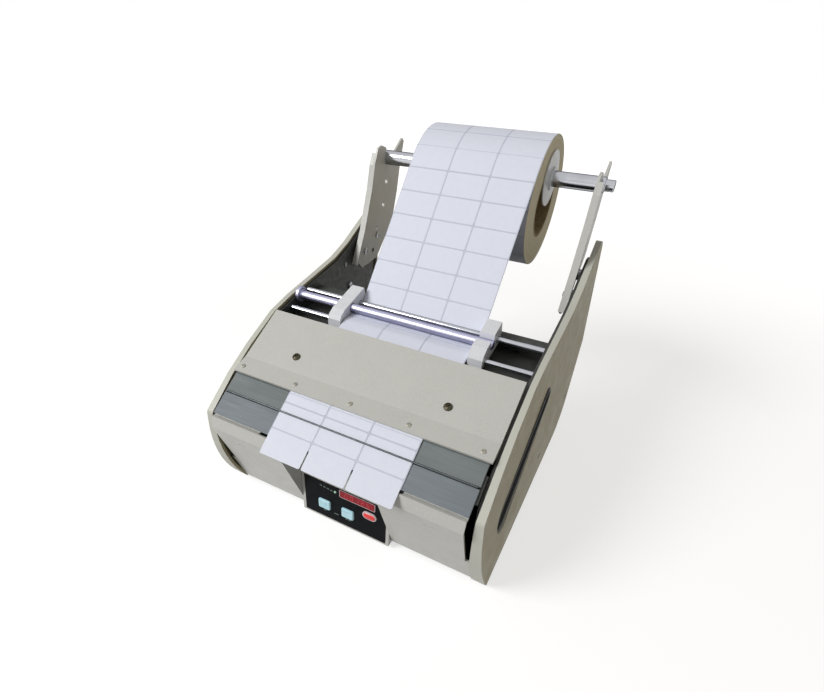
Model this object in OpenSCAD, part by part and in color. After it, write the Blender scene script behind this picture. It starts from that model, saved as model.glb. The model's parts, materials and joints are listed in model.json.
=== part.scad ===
// Desk label dispenser: a motor pulls the backing of a label web round a peel edge,
// so that three rows of labels stand out over the front, ready to be taken.
// X runs to the right as seen from the front, Y to the rear, Z up.
// Heights and depths below are taken from the front bottom edge of the housing.

/* [Overall] */
// Width between the plastic side covers
inner_w = 204.6; // [190:0.2:220]
// Thickness of each steel side frame
frame_t = 2; // [1.5:0.5:3]
// Height of the rubber feet below the housing
foot_h = 3; // [2:0.5:8]
// Radius of a rubber foot
foot_r = 9; // [6:0.5:14]
// General clearance between neighbouring pieces
gap = 0.3; // [0.2:0.05:0.5]

/* [Side covers] */
// Width of the light rim on top of a side cover
rim_w = 5.2; // [4:0.1:8]
// Largest depth of a side cover, from its inner to its outer face
cover_d = 10.7; // [9:0.1:14]
// Slope of a side cover's outer face, in degrees
cover_draft = 4; // [2:0.5:6]
// Wall of a side cover
cover_wall = 2.4; // [2:0.1:3]
// How far the side covers reach in front of the bottom edge
nose_y = 23.4; // [20:0.2:26]
// Height at which the nose of a side cover starts to curve under
nose_z = 72; // [66:1:76]
// Rear end of the side covers
tail_y = 222; // [216:1:230]
// Radius of the lower rear corner
tail_r = 28; // [20:1:40]
// Radius of the horn at the top rear corner
horn_r = 7; // [5:0.5:8]
// Height of the centre of the horn
horn_z = 175; // [172:0.5:178]
// Half height of the grip slot at its rear end
grip_r = 9; // [8:0.5:11]
// Half height of the grip slot at its front end
grip_front_r = 14; // [11:0.5:15]
// Length of the grip slot between the centres of its round ends
grip_len = 90; // [80:1:100]
// Wall of the grip cup
grip_wall = 1.6; // [1.2:0.1:2]

/* [Front] */
// Slope of the two grey label plates, in degrees
plate_slope = 35; // [33:0.5:37]
// Gap between the ends of the grey label plates and the side frames
plate_play = 1.7; // [0.5:0.1:6]
// Thickness of the grey label plates
plate_t = 2; // [1.5:0.1:3]
// Height of the peel edge
peel_z = 85; // [83:0.5:87]
// How far the peel edge lies in front of the bottom edge
peel_y = 25.5; // [25:0.1:26.5]
// Width of the front label plate along the slope
peel_len = 18.4; // [16:0.2:20]
// Width of the rear label plate along the slope, up to the lip of the cover
stage_len = 15; // [13:0.2:17]
// Slit between the two label plates
seam_w = 1.4; // [1.3:0.1:2]
// Radius of the hold-down wire over the slit
wire_r = 0.6; // [0.4:0.1:0.6]
// Thickness of the bent front sheets
sheet_t = 1.5; // [1:0.1:2]
// Height of the fold of the front sheets
fold_z = 74; // [72:0.5:76]
// How far the fold lies in front of the bottom edge
fold_y = 29.5; // [28.5:0.1:30.5]
// Half width of the control box
panel_half = 38.3; // [38:0.1:42]
// Height of the control box
panel_top = 58; // [50:1:60]
// How far the control box lies in front of the bottom edge
panel_y = 5.3; // [4:0.1:7]
// Half width of the black overlay
overlay_half = 35.5; // [34:0.1:37]
// Height of the overlay
overlay_h = 36.4; // [35:0.1:40]
// Thickness of the overlay
overlay_t = 0.8; // [0.5:0.1:1.2]

/* [Buttons] */
// Side of a square button
button_w = 10.5; // [9:0.5:12]
// Height of a square button
button_h = 9; // [8:0.5:13]
// Height of the oval button
oval_h = 7; // [6:0.5:10]
// Travel of a button
button_travel = 1.2; // [0.8:0.1:1.6]
// How far a button stands out of the overlay
button_out = 1.4; // [1.3:0.1:2]

/* [Top cover] */
// Thickness of the top cover
top_t = 1.7; // [1.2:0.1:2]
// Gap under the lip of the top cover
lip_gap = 1; // [0.8:0.1:1.5]
// Slope of the lip, in degrees
lip_slope = 18; // [14:0.5:22]
// Depth of the lip
lip_d = 13.9; // [12:0.1:16]
// Slope of the cover's main face, in degrees
top_slope = 29.3; // [27:0.1:30]
// Depth of the main face
top_d = 39.7; // [36:0.1:42]

/* [Web and roll] */
// Width of the label web: three labels side by side
web_w = 102.9; // [90:0.1:108]
// How far the middle of the web lies to the right of the middle of the machine
web_x = 3.15; // [0:0.05:3.3]
// Thickness of the web
web_t = 0.3; // [0.25:0.05:0.4]
// How far the front labels stand out over the peel edge
label_out = 13.2; // [8:0.2:14]
// Gap between two labels
label_gap = 1.6; // [1:0.1:3]
// Slope of the labels that stand out over the peel edge, in degrees
label_droop = 37; // [35:0.5:40]
// Outer radius of the label roll
roll_r = 50.4; // [45:0.1:51]
// Inner radius of the cardboard core
core_r = 25; // [20:0.5:26]
// Wall of the cardboard core
core_wall = 2.5; // [1.5:0.5:4]
// Radius of the steel shaft that carries the roll
shaft_r = 6; // [5:0.1:6.5]
// How far the shaft reaches out past the inner face of each arm
shaft_out = 11.5; // [10:0.5:14]
// Radius of the two plates that keep the roll in place
flange_r = 21; // [18:0.5:30]

/* [Guides] */
// Radius of the two guide rods
rod_r = 2.25; // [2:0.05:2.5]
// Radius of the hold-down bar
bar_r = 3.5; // [3:0.1:3.5]
// Right end of the hold-down bar
bar_end = 67; // [60:0.5:72]
// Thickness of an edge guide
guide_t = 11; // [9:0.5:13]
// Play between a web edge and its guide
guide_play = 0.5; // [0.3:0.1:1]

/* [Arms] */
// Distance between the inner faces of the two arms
arm_gap = 186; // [180:0.5:188]
// Sheet thickness of the arms
arm_t = 2; // [1.5:0.5:3]
// Width of the folded front edge of an arm
arm_fold = 5.5; // [4:0.1:6]
// Radius of the height holes
arm_hole_r = 2.2; // [1.8:0.1:2.6]

/* [Drive] */
// Radius of the rubber drive roller
drive_r = 12; // [10:0.5:13]
// Radius of the pinch roller
pinch_r = 8; // [7:0.5:9]
// Radius of the roller axles
axle_r = 3; // [2.5:0.1:4]
// Half length of both rollers
roller_half = 60; // [54:1:64]
// Gap between the two rollers, where the backing passes
nip = 0.8; // [0.7:0.1:1]
// Travel of the pinch roller away from the drive roller
pinch_travel = 1.5; // [1:0.1:2]
// Pitch radius of the belt wheel on the drive roller
wheel_r = 14; // [12:0.5:15]
// Pitch radius of the belt wheel on the motor
pinion_r = 6; // [5:0.5:8]

/* [Screws] */
// Head radius of the lip screws
lip_head_r = 1.8; // [1.4:0.1:2.2]
// Head radius of the cover screws
cover_head_r = 2.9; // [2.4:0.1:3.4]
// Head radius of the frame screws
frame_head_r = 3.6; // [3:0.1:4]

/* [Hidden] */
$fn = 64;

// Lateral stations
cover_x = inner_w / 2;
frame_x = cover_x - gap;
frame_in = frame_x - frame_t;
span = frame_in - 0.1;
plate_half = frame_in - plate_play;
shaft_len = arm_gap + 2 * shaft_out;
web_lo = web_x - web_w / 2;
web_hi = web_x + web_w / 2;
column_w = web_w / 3;

// Slopes of the label plates: unit vector down to the front and its normal
down = [-cos(plate_slope), -sin(plate_slope)];
up_n = [-sin(plate_slope), cos(plate_slope)];
peel = [-peel_y, peel_z];
seam = peel - peel_len * down;
lip = seam - stage_len * down;

// Top cover: front edge, bend and rear edge of its upper face
top_front = [lip[0], lip[1] + lip_gap + top_t];
top_bend = top_front + lip_d * [1, tan(lip_slope)];
top_rear = top_bend + top_d * [1, tan(top_slope)];

// Height of the web's middle over what it runs on
web_over = web_t / 2 + gap;
// Rods: places that the web and the cover line up with
front_rod = top_rear + [18.5, -4.8];
rear_rod = front_rod + [24.1, 6.5];
// The web crosses from over the front rod to under the rear rod, and the bar holds it down
bar_c = (front_rod + rear_rod) / 2 + [0, web_t / 2 + gap + bar_r];

// Roll: it hangs on the shaft, which lies in the notches of the arms
shaft_c = [220, 222.4];
roll_c = shaft_c + [0, shaft_r + gap - core_r];

// The overall depth runs from the front labels to the rear of the roll
wedge = 0.02;
label_t = web_t * 0.8;
label_dir = [-cos(label_droop), -sin(label_droop)];
label_root = peel + (web_over + wedge) * up_n + wedge * down;
front_tip = label_root + label_out * label_dir - label_t / 2 * [sin(label_droop), 0];
mid_y = (front_tip[0] + roll_c[0] + roll_r) / 2;

// Drive rollers under the label plates
drive_c = [22, 68];
pinch_c = drive_c - [0, drive_r + pinch_r + nip];
motor_c = drive_c + [34, -10];
wheel_x = 86;
wheel_w = 7;
belt_t = 1.4;

// Interior levels
base_z = 1.5;
base_t = 2;
rear_y = top_rear[0] + 60.3;
rear_t = 2;
frame_tail = tail_y - 14;

// Roll flanges lie just outside the two faces of the roll
flange_t = 1.8;
hub_t = 3;

// ---------- helpers ----------

// Stands the machine on its feet with the origin under its middle
module stand() {
    translate([0, -mid_y, foot_h])
        children();
}

// Extrudes a side view, drawn as (Y, Z), across X
module across(x0, x1) {
    translate([x0, 0, 0])
        rotate([90, 0, 90])
            linear_extrude(height = x1 - x0)
                children();
}

// Round bar along X
module bar_x(x0, x1, c, r) {
    translate([x0, c[0], c[1]])
        rotate([0, 90, 0])
            cylinder(r = r, h = x1 - x0);
}

// Places children on a side view point, turned by an angle about X
module on_slope(p, a) {
    translate([0, p[0], p[1]])
        rotate([a, 0, 0])
            children();
}

// Slot with round ends of radius r at point a and end_r at point b
module slot(a, b, r, end_r) {
    d = b - a;
    turn = atan2(d[1], d[0]);
    reach = acos((r - end_r) / norm(d));
    polygon(concat(arc(a, r, turn + reach, turn + 360 - reach, 16), arc(b, end_r, turn - reach, turn + reach, 16)));
}

// Pan head screw with a cross recess; the head sits at z = 0 and the shank points down
module pan_screw(head_r, len) {
    recess = head_r * 0.28;
    difference() {
        union() {
            cylinder(r = head_r, h = head_r * 0.35);
            translate([0, 0, head_r * 0.35])
                cylinder(r1 = head_r, r2 = head_r * 0.72, h = head_r * 0.22, $fn = 48);
            translate([0, 0, -len])
                cylinder(r = head_r * 0.5, h = len);
        }
        for (a = [0, 90])
            rotate(a)
                translate([-head_r * 0.62, -recess / 2, head_r * 0.22])
                    cube([head_r * 1.24, recess, head_r]);
    }
}

function unit(v) = v / norm(v);
function arc(c, r, a0, a1, n) = [for (i = [0:n]) c + r * [cos(a0 + (a1 - a0) * i / n), sin(a0 + (a1 - a0) * i / n)]];
// Moves each edge of a counter-clockwise outline inwards by d
function inset(p, d) = [for (i = [0:len(p) - 1])
    let (n = len(p), u = unit(p[i] - p[(i + n - 1) % n]), v = unit(p[(i + 1) % n] - p[i]))
    p[i] + d * [-u[1] - v[1], u[0] + v[0]] / (1 + u * v)];
// Band of thickness t along an open path, with t laid off to the left
function path_left(p, d) = [for (i = [0:len(p) - 1])
    let (n = len(p) - 1, u = unit(p[min(i + 1, n)] - p[min(i, n - 1)]), v = unit(p[max(i, 1)] - p[max(i - 1, 0)]))
    p[i] + d * [-u[1] - v[1], u[0] + v[0]] / (1 + u * v)];
function reversed(p) = [for (i = [len(p) - 1:-1:0]) p[i]];
function band(p, t) = concat(path_left(p, -t / 2), reversed(path_left(p, t / 2)));
function shell_band(p, t) = concat(p, reversed(path_left(p, t)));

// ---------- side view of the housing ----------

nose_r = (nose_z * nose_z + nose_y * nose_y) / (2 * nose_y);
nose_a = asin(nose_z / nose_r);
horn_c = [tail_y - horn_r, horn_z];
rim_front = [-nose_y, peel_z - 1.5];
rim_line = [[183, 166], [164.4, 156.5], [143.6, 149], [108, 142.3], [78, 137.2], [55.6, 131.5],
    [25, 116], [2.5, 102]];
housing = concat(
    [[0, 0]],
    arc([tail_y - tail_r, tail_r], tail_r, -90, 0, 8),
    arc(horn_c, horn_r, 0, 125, 6),
    [[horn_c[0] - horn_r * 2.1, horn_z - 0.5]],
    rim_line,
    arc(rim_front + [4.4, -4], 4.4, 118, 180, 4),
    arc([nose_r - nose_y, nose_z], nose_r, 180, 180 + nose_a * 0.94, 8));

// Half space below the sloped outer face of a side cover, set in by d
module draft_block(d) {
    rim_dir = atan2(horn_z - peel_z, tail_y + nose_y);
    on_slope([-nose_y, peel_z], rim_dir)
        translate([cover_x + rim_w - d, 0, 0])
            rotate([0, -cover_draft, 0])
                translate([-80, -200, -400])
                    cube([80, 700, 420]);
}

module cover_solid(d) {
    intersection() {
        across(cover_x, cover_x + cover_d - d)
            polygon(inset(housing, d));
        draft_block(d);
    }
}

// Grip slot in the side covers
grip_a = [20, 52.5];
grip_slope = 31.2;
grip_dir = [cos(grip_slope), sin(grip_slope)];
grip_b = grip_a + grip_len * grip_dir;
side_screw_at = [[114, 33], [200, 42]];

module side_cover() {
    difference() {
        cover_solid(0);
        difference() {
            translate([-0.01, 0, 0])
                cover_solid(cover_wall);
            for (p = side_screw_at)
                bar_x(0, cover_x + cover_d, p, 4);
        }
        across(cover_x - 1, cover_x + cover_d + 1)
            slot(grip_a, grip_b, grip_front_r, grip_r);
        for (p = side_screw_at)
            bar_x(cover_x - 1, cover_x + cover_d + 1, p, 1.9);
        for (p = side_screw_at)
            bar_x(cover_x + cover_d - 5, cover_x + cover_d + 1, p, 3.2);
    }
}

module right_side_cover() {
    color([0.72, 0.69, 0.58])
        stand()
            side_cover();
}

module left_side_cover() {
    color([0.72, 0.69, 0.58])
        stand()
            mirror([1, 0, 0])
                side_cover();
}

module grip_cup() {
    cup_lo = cover_x + gap;
    difference() {
        across(cup_lo, cover_x + rim_w + 2.6)
            slot(grip_a, grip_b, grip_front_r - 0.15, grip_r - 0.15);
        across(cup_lo + grip_wall, cover_x + cover_d + 1)
            slot(grip_a, grip_b, grip_front_r - 0.15 - grip_wall, grip_r - 0.15 - grip_wall);
    }
}

module right_grip_cup() {
    color([0.10, 0.10, 0.10])
        stand()
            grip_cup();
}

module left_grip_cup() {
    color([0.10, 0.10, 0.10])
        stand()
            mirror([1, 0, 0])
                grip_cup();
}

module side_screws() {
    color([0.75, 0.75, 0.75])
        stand()
            for (s = [0, 1], p = side_screw_at)
                mirror([s, 0, 0])
                    translate([cover_x + cover_d - 5, p[0], p[1]])
                        rotate([0, 90, 0])
                            pan_screw(2.9, cover_x + cover_d - 5 - frame_in - 0.2);
}

// ---------- chassis ----------

frame_screw_at = [[164, 116], [157, 139]];
frame_outline = concat(
    [[2, base_z]],
    [[frame_tail, base_z], [frame_tail, 170], [200, 170.5], [183, 163], [164.4, 153.5], [143.6, 146],
        [108, 139.6], [78, 134.4], [54, 128.4], [24, 112.6], [2.4, 98.6], [-15, 84]],
    [[-15, 62], [-11, 40], [-3, 16]]);

module side_frame() {
    difference() {
        across(frame_in, frame_x)
            polygon(frame_outline);
        for (c = [front_rod, rear_rod])
            bar_x(frame_in - 1, frame_x + 1, c, rod_r + 0.05);
        bar_x(frame_in - 1, frame_x + 1, drive_c, 7.05);
        across(frame_in - 1, frame_x + 1)
            slot(pinch_c, pinch_c - [0, 10], axle_r + 0.3, axle_r + 0.3);
        for (p = arm_bolts)
            bar_x(frame_in - 1, frame_x + 1, p, 1.55);
        for (p = side_screw_at)
            bar_x(frame_in - 1, frame_x + 1, p, 1.5);
        for (p = frame_screw_at)
            bar_x(frame_in - 1, frame_x + 1, p, frame_head_r / 2 + 0.05);
    }
}

module right_frame() {
    color([0.17, 0.18, 0.17])
        stand()
            side_frame();
}

module left_frame() {
    color([0.17, 0.18, 0.17])
        stand()
            mirror([1, 0, 0])
                side_frame();
}

foot_at = [for (x = [-82, 82], y = [24, 186]) [x, y]];
base_y = 9;
exit_y = 44;
exit_w = 16;

module base_plate() {
    color([0.20, 0.21, 0.20])
        stand()
            difference() {
                union() {
                    translate([-span, base_y, base_z])
                        cube([2 * span, frame_tail - base_y, base_t]);
                    translate([-span, frame_tail - base_t, base_z])
                        cube([2 * span, base_t, 14]);
                }
                translate([-roller_half, exit_y, -1])
                    cube([2 * roller_half, exit_w, 10]);
                for (p = foot_at)
                    translate([p[0], p[1], 0])
                        cylinder(r = 2.1, h = 10);
            }
}

module feet() {
    color([0.08, 0.08, 0.08])
        stand()
            for (p = foot_at)
                translate([p[0], p[1], -foot_h]) {
                    rotate_extrude()
                        polygon([[0, 0], [foot_r - 1, 0], [foot_r, 1], [foot_r - 0.8, foot_h + base_z - 0.02],
                            [2, foot_h + base_z - 0.02], [2, foot_h + base_z + base_t], [0, foot_h + base_z + base_t]]);
                }
}

inlet_x = 62;
inlet_z = 34;
switch_x = 24;
inlet_w = 27;
inlet_h = 20;
switch_w = 19;
switch_h = 13;

module rear_wall() {
    color([0.15, 0.16, 0.15])
        stand()
            difference() {
                union() {
                    translate([-span, rear_y, base_z + base_t])
                        cube([2 * span, rear_t, 129]);
                    translate([-span, rear_y - 7, base_z + base_t + 127])
                        cube([2 * span, 8, 2]);
                }
                translate([inlet_x - inlet_w / 2, rear_y - 1, inlet_z - inlet_h / 2])
                    cube([inlet_w, 5, inlet_h]);
                translate([switch_x - switch_w / 2, rear_y - 1, inlet_z - switch_h / 2])
                    cube([switch_w, 5, switch_h]);
            }
}

// Dark tray under the rods, between the top cover and the rear wall
module web_tray() {
    tray = [[top_rear[0] - 4, top_rear[1] - 14.5], [rear_y - 9, 119], [rear_y - 0.3, 119]];
    color([0.13, 0.14, 0.13])
        stand()
            across(-span, span)
                polygon(shell_band(tray, 1.5));
}

// ---------- front ----------

sheet_top = peel + [-2.2, -1.7];
sheet_fold = [-fold_y, fold_z];
sheet_foot = [-0.6, 2.2];
sheet_in = panel_half + gap;
sheet_out = plate_half - 0.3;
// Height below which the front sheet widens to the side cover
sheet_step = 31;
// Small slit in each front sheet, from its inner end
slit_in = 36;
slit_w = 6.5;
slit_len = 1.4;
function on_sheet(z) = sheet_fold + (sheet_foot - sheet_fold) * (fold_z - z) / (fold_z - sheet_foot[1]);

// Flange of the front sheet that dips under the front label plate
flange_dip = 3.4;
flange_run = 6;
flange_knee = sheet_top + flange_dip * unit(-down - 0.9 * up_n);

module front_sheet() {
    line = [sheet_foot, sheet_fold, sheet_top];
    skin = shell_band(line, -sheet_t);
    slit = on_sheet(fold_z - 10.5);
    sheet_dir = sheet_foot - sheet_fold;
    difference() {
        union() {
            across(sheet_in, sheet_out)
                polygon(skin);
            across(web_hi + 1.5, sheet_out)
                polygon(shell_band([sheet_fold, sheet_top, flange_knee, flange_knee - flange_run * down],
                    -sheet_t));
            across(sheet_out - 1, cover_x - gap)
                polygon(shell_band([sheet_foot, on_sheet(sheet_step)], -sheet_t));
            // Cheek beside the control box
            across(sheet_in, sheet_in + sheet_t)
                polygon([sheet_foot, sheet_fold, sheet_fold + [5, 2], [-fold_y + 13.5, fold_z - 2],
                    [5.5, 22], [8, 2.2]]);
        }
        translate([sheet_in + slit_in, slit[0], slit[1]])
            rotate([atan2(sheet_dir[1], sheet_dir[0]), 0, 0])
                translate([-slit_w / 2, -slit_len / 2, -2 * sheet_t])
                    cube([slit_w, slit_len, 4 * sheet_t]);
    }
}

module right_front_sheet() {
    color([0.80, 0.78, 0.73])
        stand()
            front_sheet();
}

module left_front_sheet() {
    color([0.80, 0.78, 0.73])
        stand()
            mirror([1, 0, 0])
                front_sheet();
}

overlay_z = 2.4;
square_at = [[-17.4, 16.2], [3.4, 16.6]];
oval_at = [overlay_half - 13.3, 24.4];
oval_half = 2.4;
window_at = [[-3.4, 31.2], [26, 37.6]];
light_at = [-7.6, 33.6];
light_r = 1.1;
button_play = 0.3;

// Outline of one square button with rounded corners, centred on the origin
module button_outline(w, h, r) {
    translate([-w / 2 + r, -h / 2])
        square([w - 2 * r, h]);
    translate([-w / 2, -h / 2 + r])
        square([w, h - 2 * r]);
    for (x = [-1, 1], z = [-1, 1])
        translate([x * (w / 2 - r), z * (h / 2 - r)])
            circle(r = r);
}

// Extrudes a front view, drawn as (X, Z), from depth y0 back to y1
module facing(y0, y1) {
    translate([0, y1, 0])
        rotate([90, 0, 0])
            linear_extrude(height = y1 - y0)
                children();
}

// Holes of the control panel, grown by the play around each button
module panel_holes(d) {
    for (p = square_at)
        translate(p)
            button_outline(button_w + 2 * d, button_h + 2 * d, 1.5);
    translate([oval_at[0], oval_at[1]])
        slot([-oval_half, 0], [oval_half, 0], oval_h / 2 + d, oval_h / 2 + d);
    translate(window_at[0])
        square(window_at[1] - window_at[0]);
    translate(light_at)
        circle(r = light_r + 0.1);
}

module panel_housing() {
    wall = 2;
    depth = 13;
    color([0.80, 0.78, 0.73])
        stand()
            difference() {
                translate([-panel_half, -panel_y, 0.4])
                    cube([2 * panel_half, depth, panel_top]);
                translate([-panel_half + wall, -panel_y + wall, 0.4 + wall])
                    cube([2 * (panel_half - wall), depth, panel_top - 2 * wall]);
                translate([-overlay_half - 0.1, -panel_y - 1, overlay_z - 0.1])
                    cube([2 * overlay_half + 0.2, 1 + overlay_t / 2, overlay_h + 0.2]);
                facing(-panel_y - 1, -panel_y + 5)
                    panel_holes(button_play + 0.5);
            }
}

module panel_overlay() {
    corner = 4;
    color([0.06, 0.06, 0.07])
        stand()
            facing(-panel_y - overlay_t / 2, -panel_y + overlay_t / 2 - 0.02)
                difference() {
                    translate([0, overlay_z + overlay_h / 2])
                        intersection() {
                            square([2 * overlay_half, overlay_h], center = true);
                            union() {
                                translate([-overlay_half, -overlay_h / 2])
                                    square([2 * overlay_half - corner, overlay_h]);
                                translate([-overlay_half, -overlay_h / 2])
                                    square([2 * overlay_half, overlay_h - corner]);
                                translate([overlay_half - corner, overlay_h / 2 - corner])
                                    circle(r = corner);
                            }
                        }
                    panel_holes(button_play);
                }
}

module display_window() {
    color([0.75, 0.08, 0.12])
        stand()
            translate([window_at[0][0] + 0.1, -panel_y - overlay_t / 2 - 0.2, window_at[0][1] + 0.1])
                cube([window_at[1][0] - window_at[0][0] - 0.2, 9.3, window_at[1][1] - window_at[0][1] - 0.2]);
}

module status_light() {
    color([0.75, 0.90, 0.80])
        stand()
            translate([light_at[0], board_y - 0.05, light_at[1]])
                rotate([90, 0, 0])
                    union() {
                        cylinder(r = light_r, h = board_y + panel_y);
                        translate([0, 0, board_y + panel_y])
                            sphere(r = light_r);
                    }
}

board_y = 5;
cap_back = 2.6;

// Push button: a cap in the panel on a stem that ends above the board
module square_button(p) {
    front = -panel_y - overlay_t / 2 - button_out;
    facing(front, -panel_y + cap_back)
        translate(p)
            button_outline(button_w, button_h, 1.3);
    translate([p[0], board_y - button_travel - 0.4, p[1]])
        rotate([90, 0, 0])
            cylinder(r = 2, h = board_y + panel_y - cap_back - button_travel - 0.4 + 0.1);
}

module left_button() {
    color([0.70, 0.88, 0.92])
        stand()
            square_button(square_at[0]);
}

module right_button() {
    color([0.70, 0.88, 0.92])
        stand()
            square_button(square_at[1]);
}

module red_button() {
    front = -panel_y - overlay_t / 2 - button_out;
    color([0.85, 0.10, 0.12])
        stand() {
            facing(front, -panel_y + cap_back)
                translate(oval_at)
                    slot([-oval_half, 0], [oval_half, 0], oval_h / 2, oval_h / 2);
            translate([oval_at[0], board_y - button_travel - 0.4, oval_at[1]])
                rotate([90, 0, 0])
                    cylinder(r = 2, h = board_y + panel_y - cap_back - button_travel - 0.4 + 0.1);
        }
}

module circuit_board() {
    color([0.10, 0.35, 0.18])
        stand()
            union() {
                translate([-34, board_y, 4])
                    cube([68, 1.6, 48]);
                translate([-20, board_y + 1.6, 24])
                    cube([16, 2.5, 10]);
                translate([6, board_y + 1.6, 40])
                    cube([20, 4.5, 7]);
            }
}

// ---------- label plates ----------

module stage_plate() {
    run_in = lip + [lip_d, lip_d * tan(lip_slope - 5)];
    run_end = run_in + top_d * 0.84 * [1, tan(top_slope - 9)];
    line = [seam - seam_w / 2 * down, lip, run_in, run_end];
    color([0.42, 0.44, 0.44])
        stand()
            across(-plate_half, plate_half)
                polygon(shell_band(line, -plate_t));
}

module peel_plate() {
    edge_t = 0.5;
    color([0.44, 0.46, 0.50])
        stand()
            across(-plate_half, plate_half)
                polygon([peel, seam + seam_w / 2 * down, seam + seam_w / 2 * down - plate_t * up_n,
                    peel - 4 * down - plate_t * up_n, peel - edge_t * up_n]);
}

// Steel beam between the side frames that carries both label plates
beam_half = 9;
beam_t = 5;
// Gap between two flat faces that are screwed or glued together
seat = 0.02;

module plate_beam() {
    a = seam - (plate_t + seat) * up_n;
    color([0.30, 0.31, 0.31])
        stand()
            across(-span, span)
                polygon([a + beam_half * down, a - beam_half * down, a - beam_half * down - beam_t * up_n,
                    a + beam_half * down - beam_t * up_n]);
}

wire_c = seam + (web_t + 2 * gap + wire_r) * up_n;

module hold_wire() {
    leg = norm(wire_c - seam) + plate_t;
    color([0.20, 0.20, 0.20])
        stand()
            union() {
                bar_x(-plate_half + 1.5, plate_half - 1.5, wire_c, wire_r);
                for (x = [-1, 1])
                    translate([x * (plate_half - 1.5), 0, 0])
                        on_slope(wire_c, plate_slope) {
                            sphere(r = wire_r, $fn = 24);
                            translate([0, 0, -leg])
                                cylinder(r = wire_r, h = leg);
                        }
            }
}

// One light sensor under each label column, against the front of the beam
module label_sensor() {
    a = seam + (beam_half + seat) * down - (plate_t + seat) * up_n;
    depth = 3.7;
    height = 4;
    half = 4;
    color([0.08, 0.08, 0.08])
        stand()
            for (k = [-1, 0, 1])
                translate([web_x + k * column_w, 0, 0])
                    across(-half, half)
                        polygon([a + depth * down, a, a - height * up_n, a + depth * down - height * up_n]);
}

// ---------- top cover ----------

lip_screw_x = [-95, -47.5, -2, 42, 92];
lip_screw_y = top_front[0] + 5;
cover_screw_x = [-60, 60];
cover_screw_y = top_bend[0] + 10.5;
function top_at(y) = y < top_bend[0]
    ? top_front[1] + (y - top_front[0]) * tan(lip_slope)
    : top_bend[1] + (y - top_bend[0]) * tan(top_slope);

module top_cover() {
    line = [top_front, top_bend, top_rear];
    flange = 9;
    color([0.80, 0.78, 0.73])
        stand()
            difference() {
                union() {
                    across(-span, span)
                        polygon(shell_band(line, -top_t));
                    for (s = [0, 1])
                        mirror([s, 0, 0])
                            across(span - 1.2, span)
                                polygon([top_front + [1, -1], top_bend + [0, -1], top_rear + [-0.5, -1],
                                    top_rear + [-2, -flange], top_bend + [5, -flange]]);
                }
                for (x = lip_screw_x)
                    translate([x, lip_screw_y, top_at(lip_screw_y)])
                        rotate([lip_slope, 0, 0])
                            translate([0, 0, -5])
                                cylinder(r = lip_head_r * 0.5 + 0.05, h = 10);
                for (x = cover_screw_x)
                    translate([x, cover_screw_y, top_at(cover_screw_y)])
                        rotate([top_slope, 0, 0])
                            translate([0, 0, -5])
                                cylinder(r = cover_head_r * 0.5 + 0.05, h = 10);
            }
}

module lip_screws() {
    color([0.72, 0.71, 0.66])
        stand()
            for (x = lip_screw_x)
                translate([x, lip_screw_y, top_at(lip_screw_y)])
                    rotate([lip_slope, 0, 0])
                        pan_screw(lip_head_r, top_t + 0.4);
}

module cover_screws() {
    color([0.25, 0.25, 0.22])
        stand()
            for (x = cover_screw_x)
                translate([x, cover_screw_y, top_at(cover_screw_y)])
                    rotate([top_slope, 0, 0])
                        pan_screw(cover_head_r, top_t + 1.2);
}

// ---------- rods and guides ----------

module front_rod() {
    color([0.85, 0.86, 0.88])
        stand()
            bar_x(-frame_x, frame_x, front_rod, rod_r);
}

module rear_rod() {
    color([0.85, 0.86, 0.88])
        stand()
            bar_x(-frame_x, frame_x, rear_rod, rod_r);
}

module hold_down_bar() {
    color([0.80, 0.80, 0.90])
        stand()
            union() {
                bar_x(-span, bar_end, bar_c, bar_r);
                // Flat foot that is screwed to the left frame
                across(-span, -span + 3)
                    polygon(arc(bar_c, bar_r + 3, 0, 345, 23));
            }
}

guide_h = 15;
guide_lo = -5;

// Edge guide that slides on both rods and lets the hold-down bar through
module guide(open_top) {
    a = front_rod + [-6, guide_lo];
    b = rear_rod + [8, guide_lo];
    difference() {
        across(0, guide_t)
            polygon([a, b, b + [1, 8], b + [-2, guide_h + 1], a + [7, guide_h - 0.5], a + [1.5, guide_h - 4],
                a + [0, guide_h - 7]]);
        bar_x(-1, guide_t + 1, front_rod, rod_r + 0.06);
        bar_x(-1, guide_t + 1, rear_rod, rod_r + 0.06);
        across(-1, guide_t + 1)
            slot(bar_c, bar_c + (open_top ? [0, 20] : [0, 0.1]), bar_r + gap, bar_r + gap);
    }
}

module left_guide() {
    color([0.93, 0.93, 0.92])
        stand()
            translate([web_lo - guide_play - guide_t, 0, 0])
                guide(false);
}

module right_guide() {
    color([0.93, 0.93, 0.92])
        stand()
            translate([web_hi + guide_play, 0, 0])
                guide(true);
}

// ---------- arms, shaft and roll ----------

arm_in = arm_gap / 2;
// The arm's head keeps its shape round the shaft, and its leg runs down to the bolts
arm_front = [[175, 131.5], [167, 140], [180, 166], [191.5, 199], shaft_c + [-24, -3.4], shaft_c + [-18.5, 9.1]];
arm_rear = [shaft_c + [31, 10.1], shaft_c + [25, -10.4], shaft_c + [21, -32.4], [233, 163], [203, 134]];
arm_head_front = [shaft_c + [-12, 11.1], shaft_c + [-4, 8.6]];
arm_head_rear = [shaft_c + [18, 14.6], shaft_c + [26, 14.1]];
arm_bolts = [[181, 146], [203, 156]];
arm_holes = [shaft_c + [-1.3, -20.4], shaft_c + [-6, -40.4], [202.5, 162.5], [195.5, 143]];
notch_a = 24;
notch_dir = [sin(notch_a), cos(notch_a)];
notch_n = [cos(notch_a), -sin(notch_a)];
notch_r = shaft_r + 0.06;
fold_line = [[165.5, 137], [167, 140], [180, 166], [191.5, 199], shaft_c + [-24, -3.4], shaft_c + [-20, 5.6]];

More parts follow.
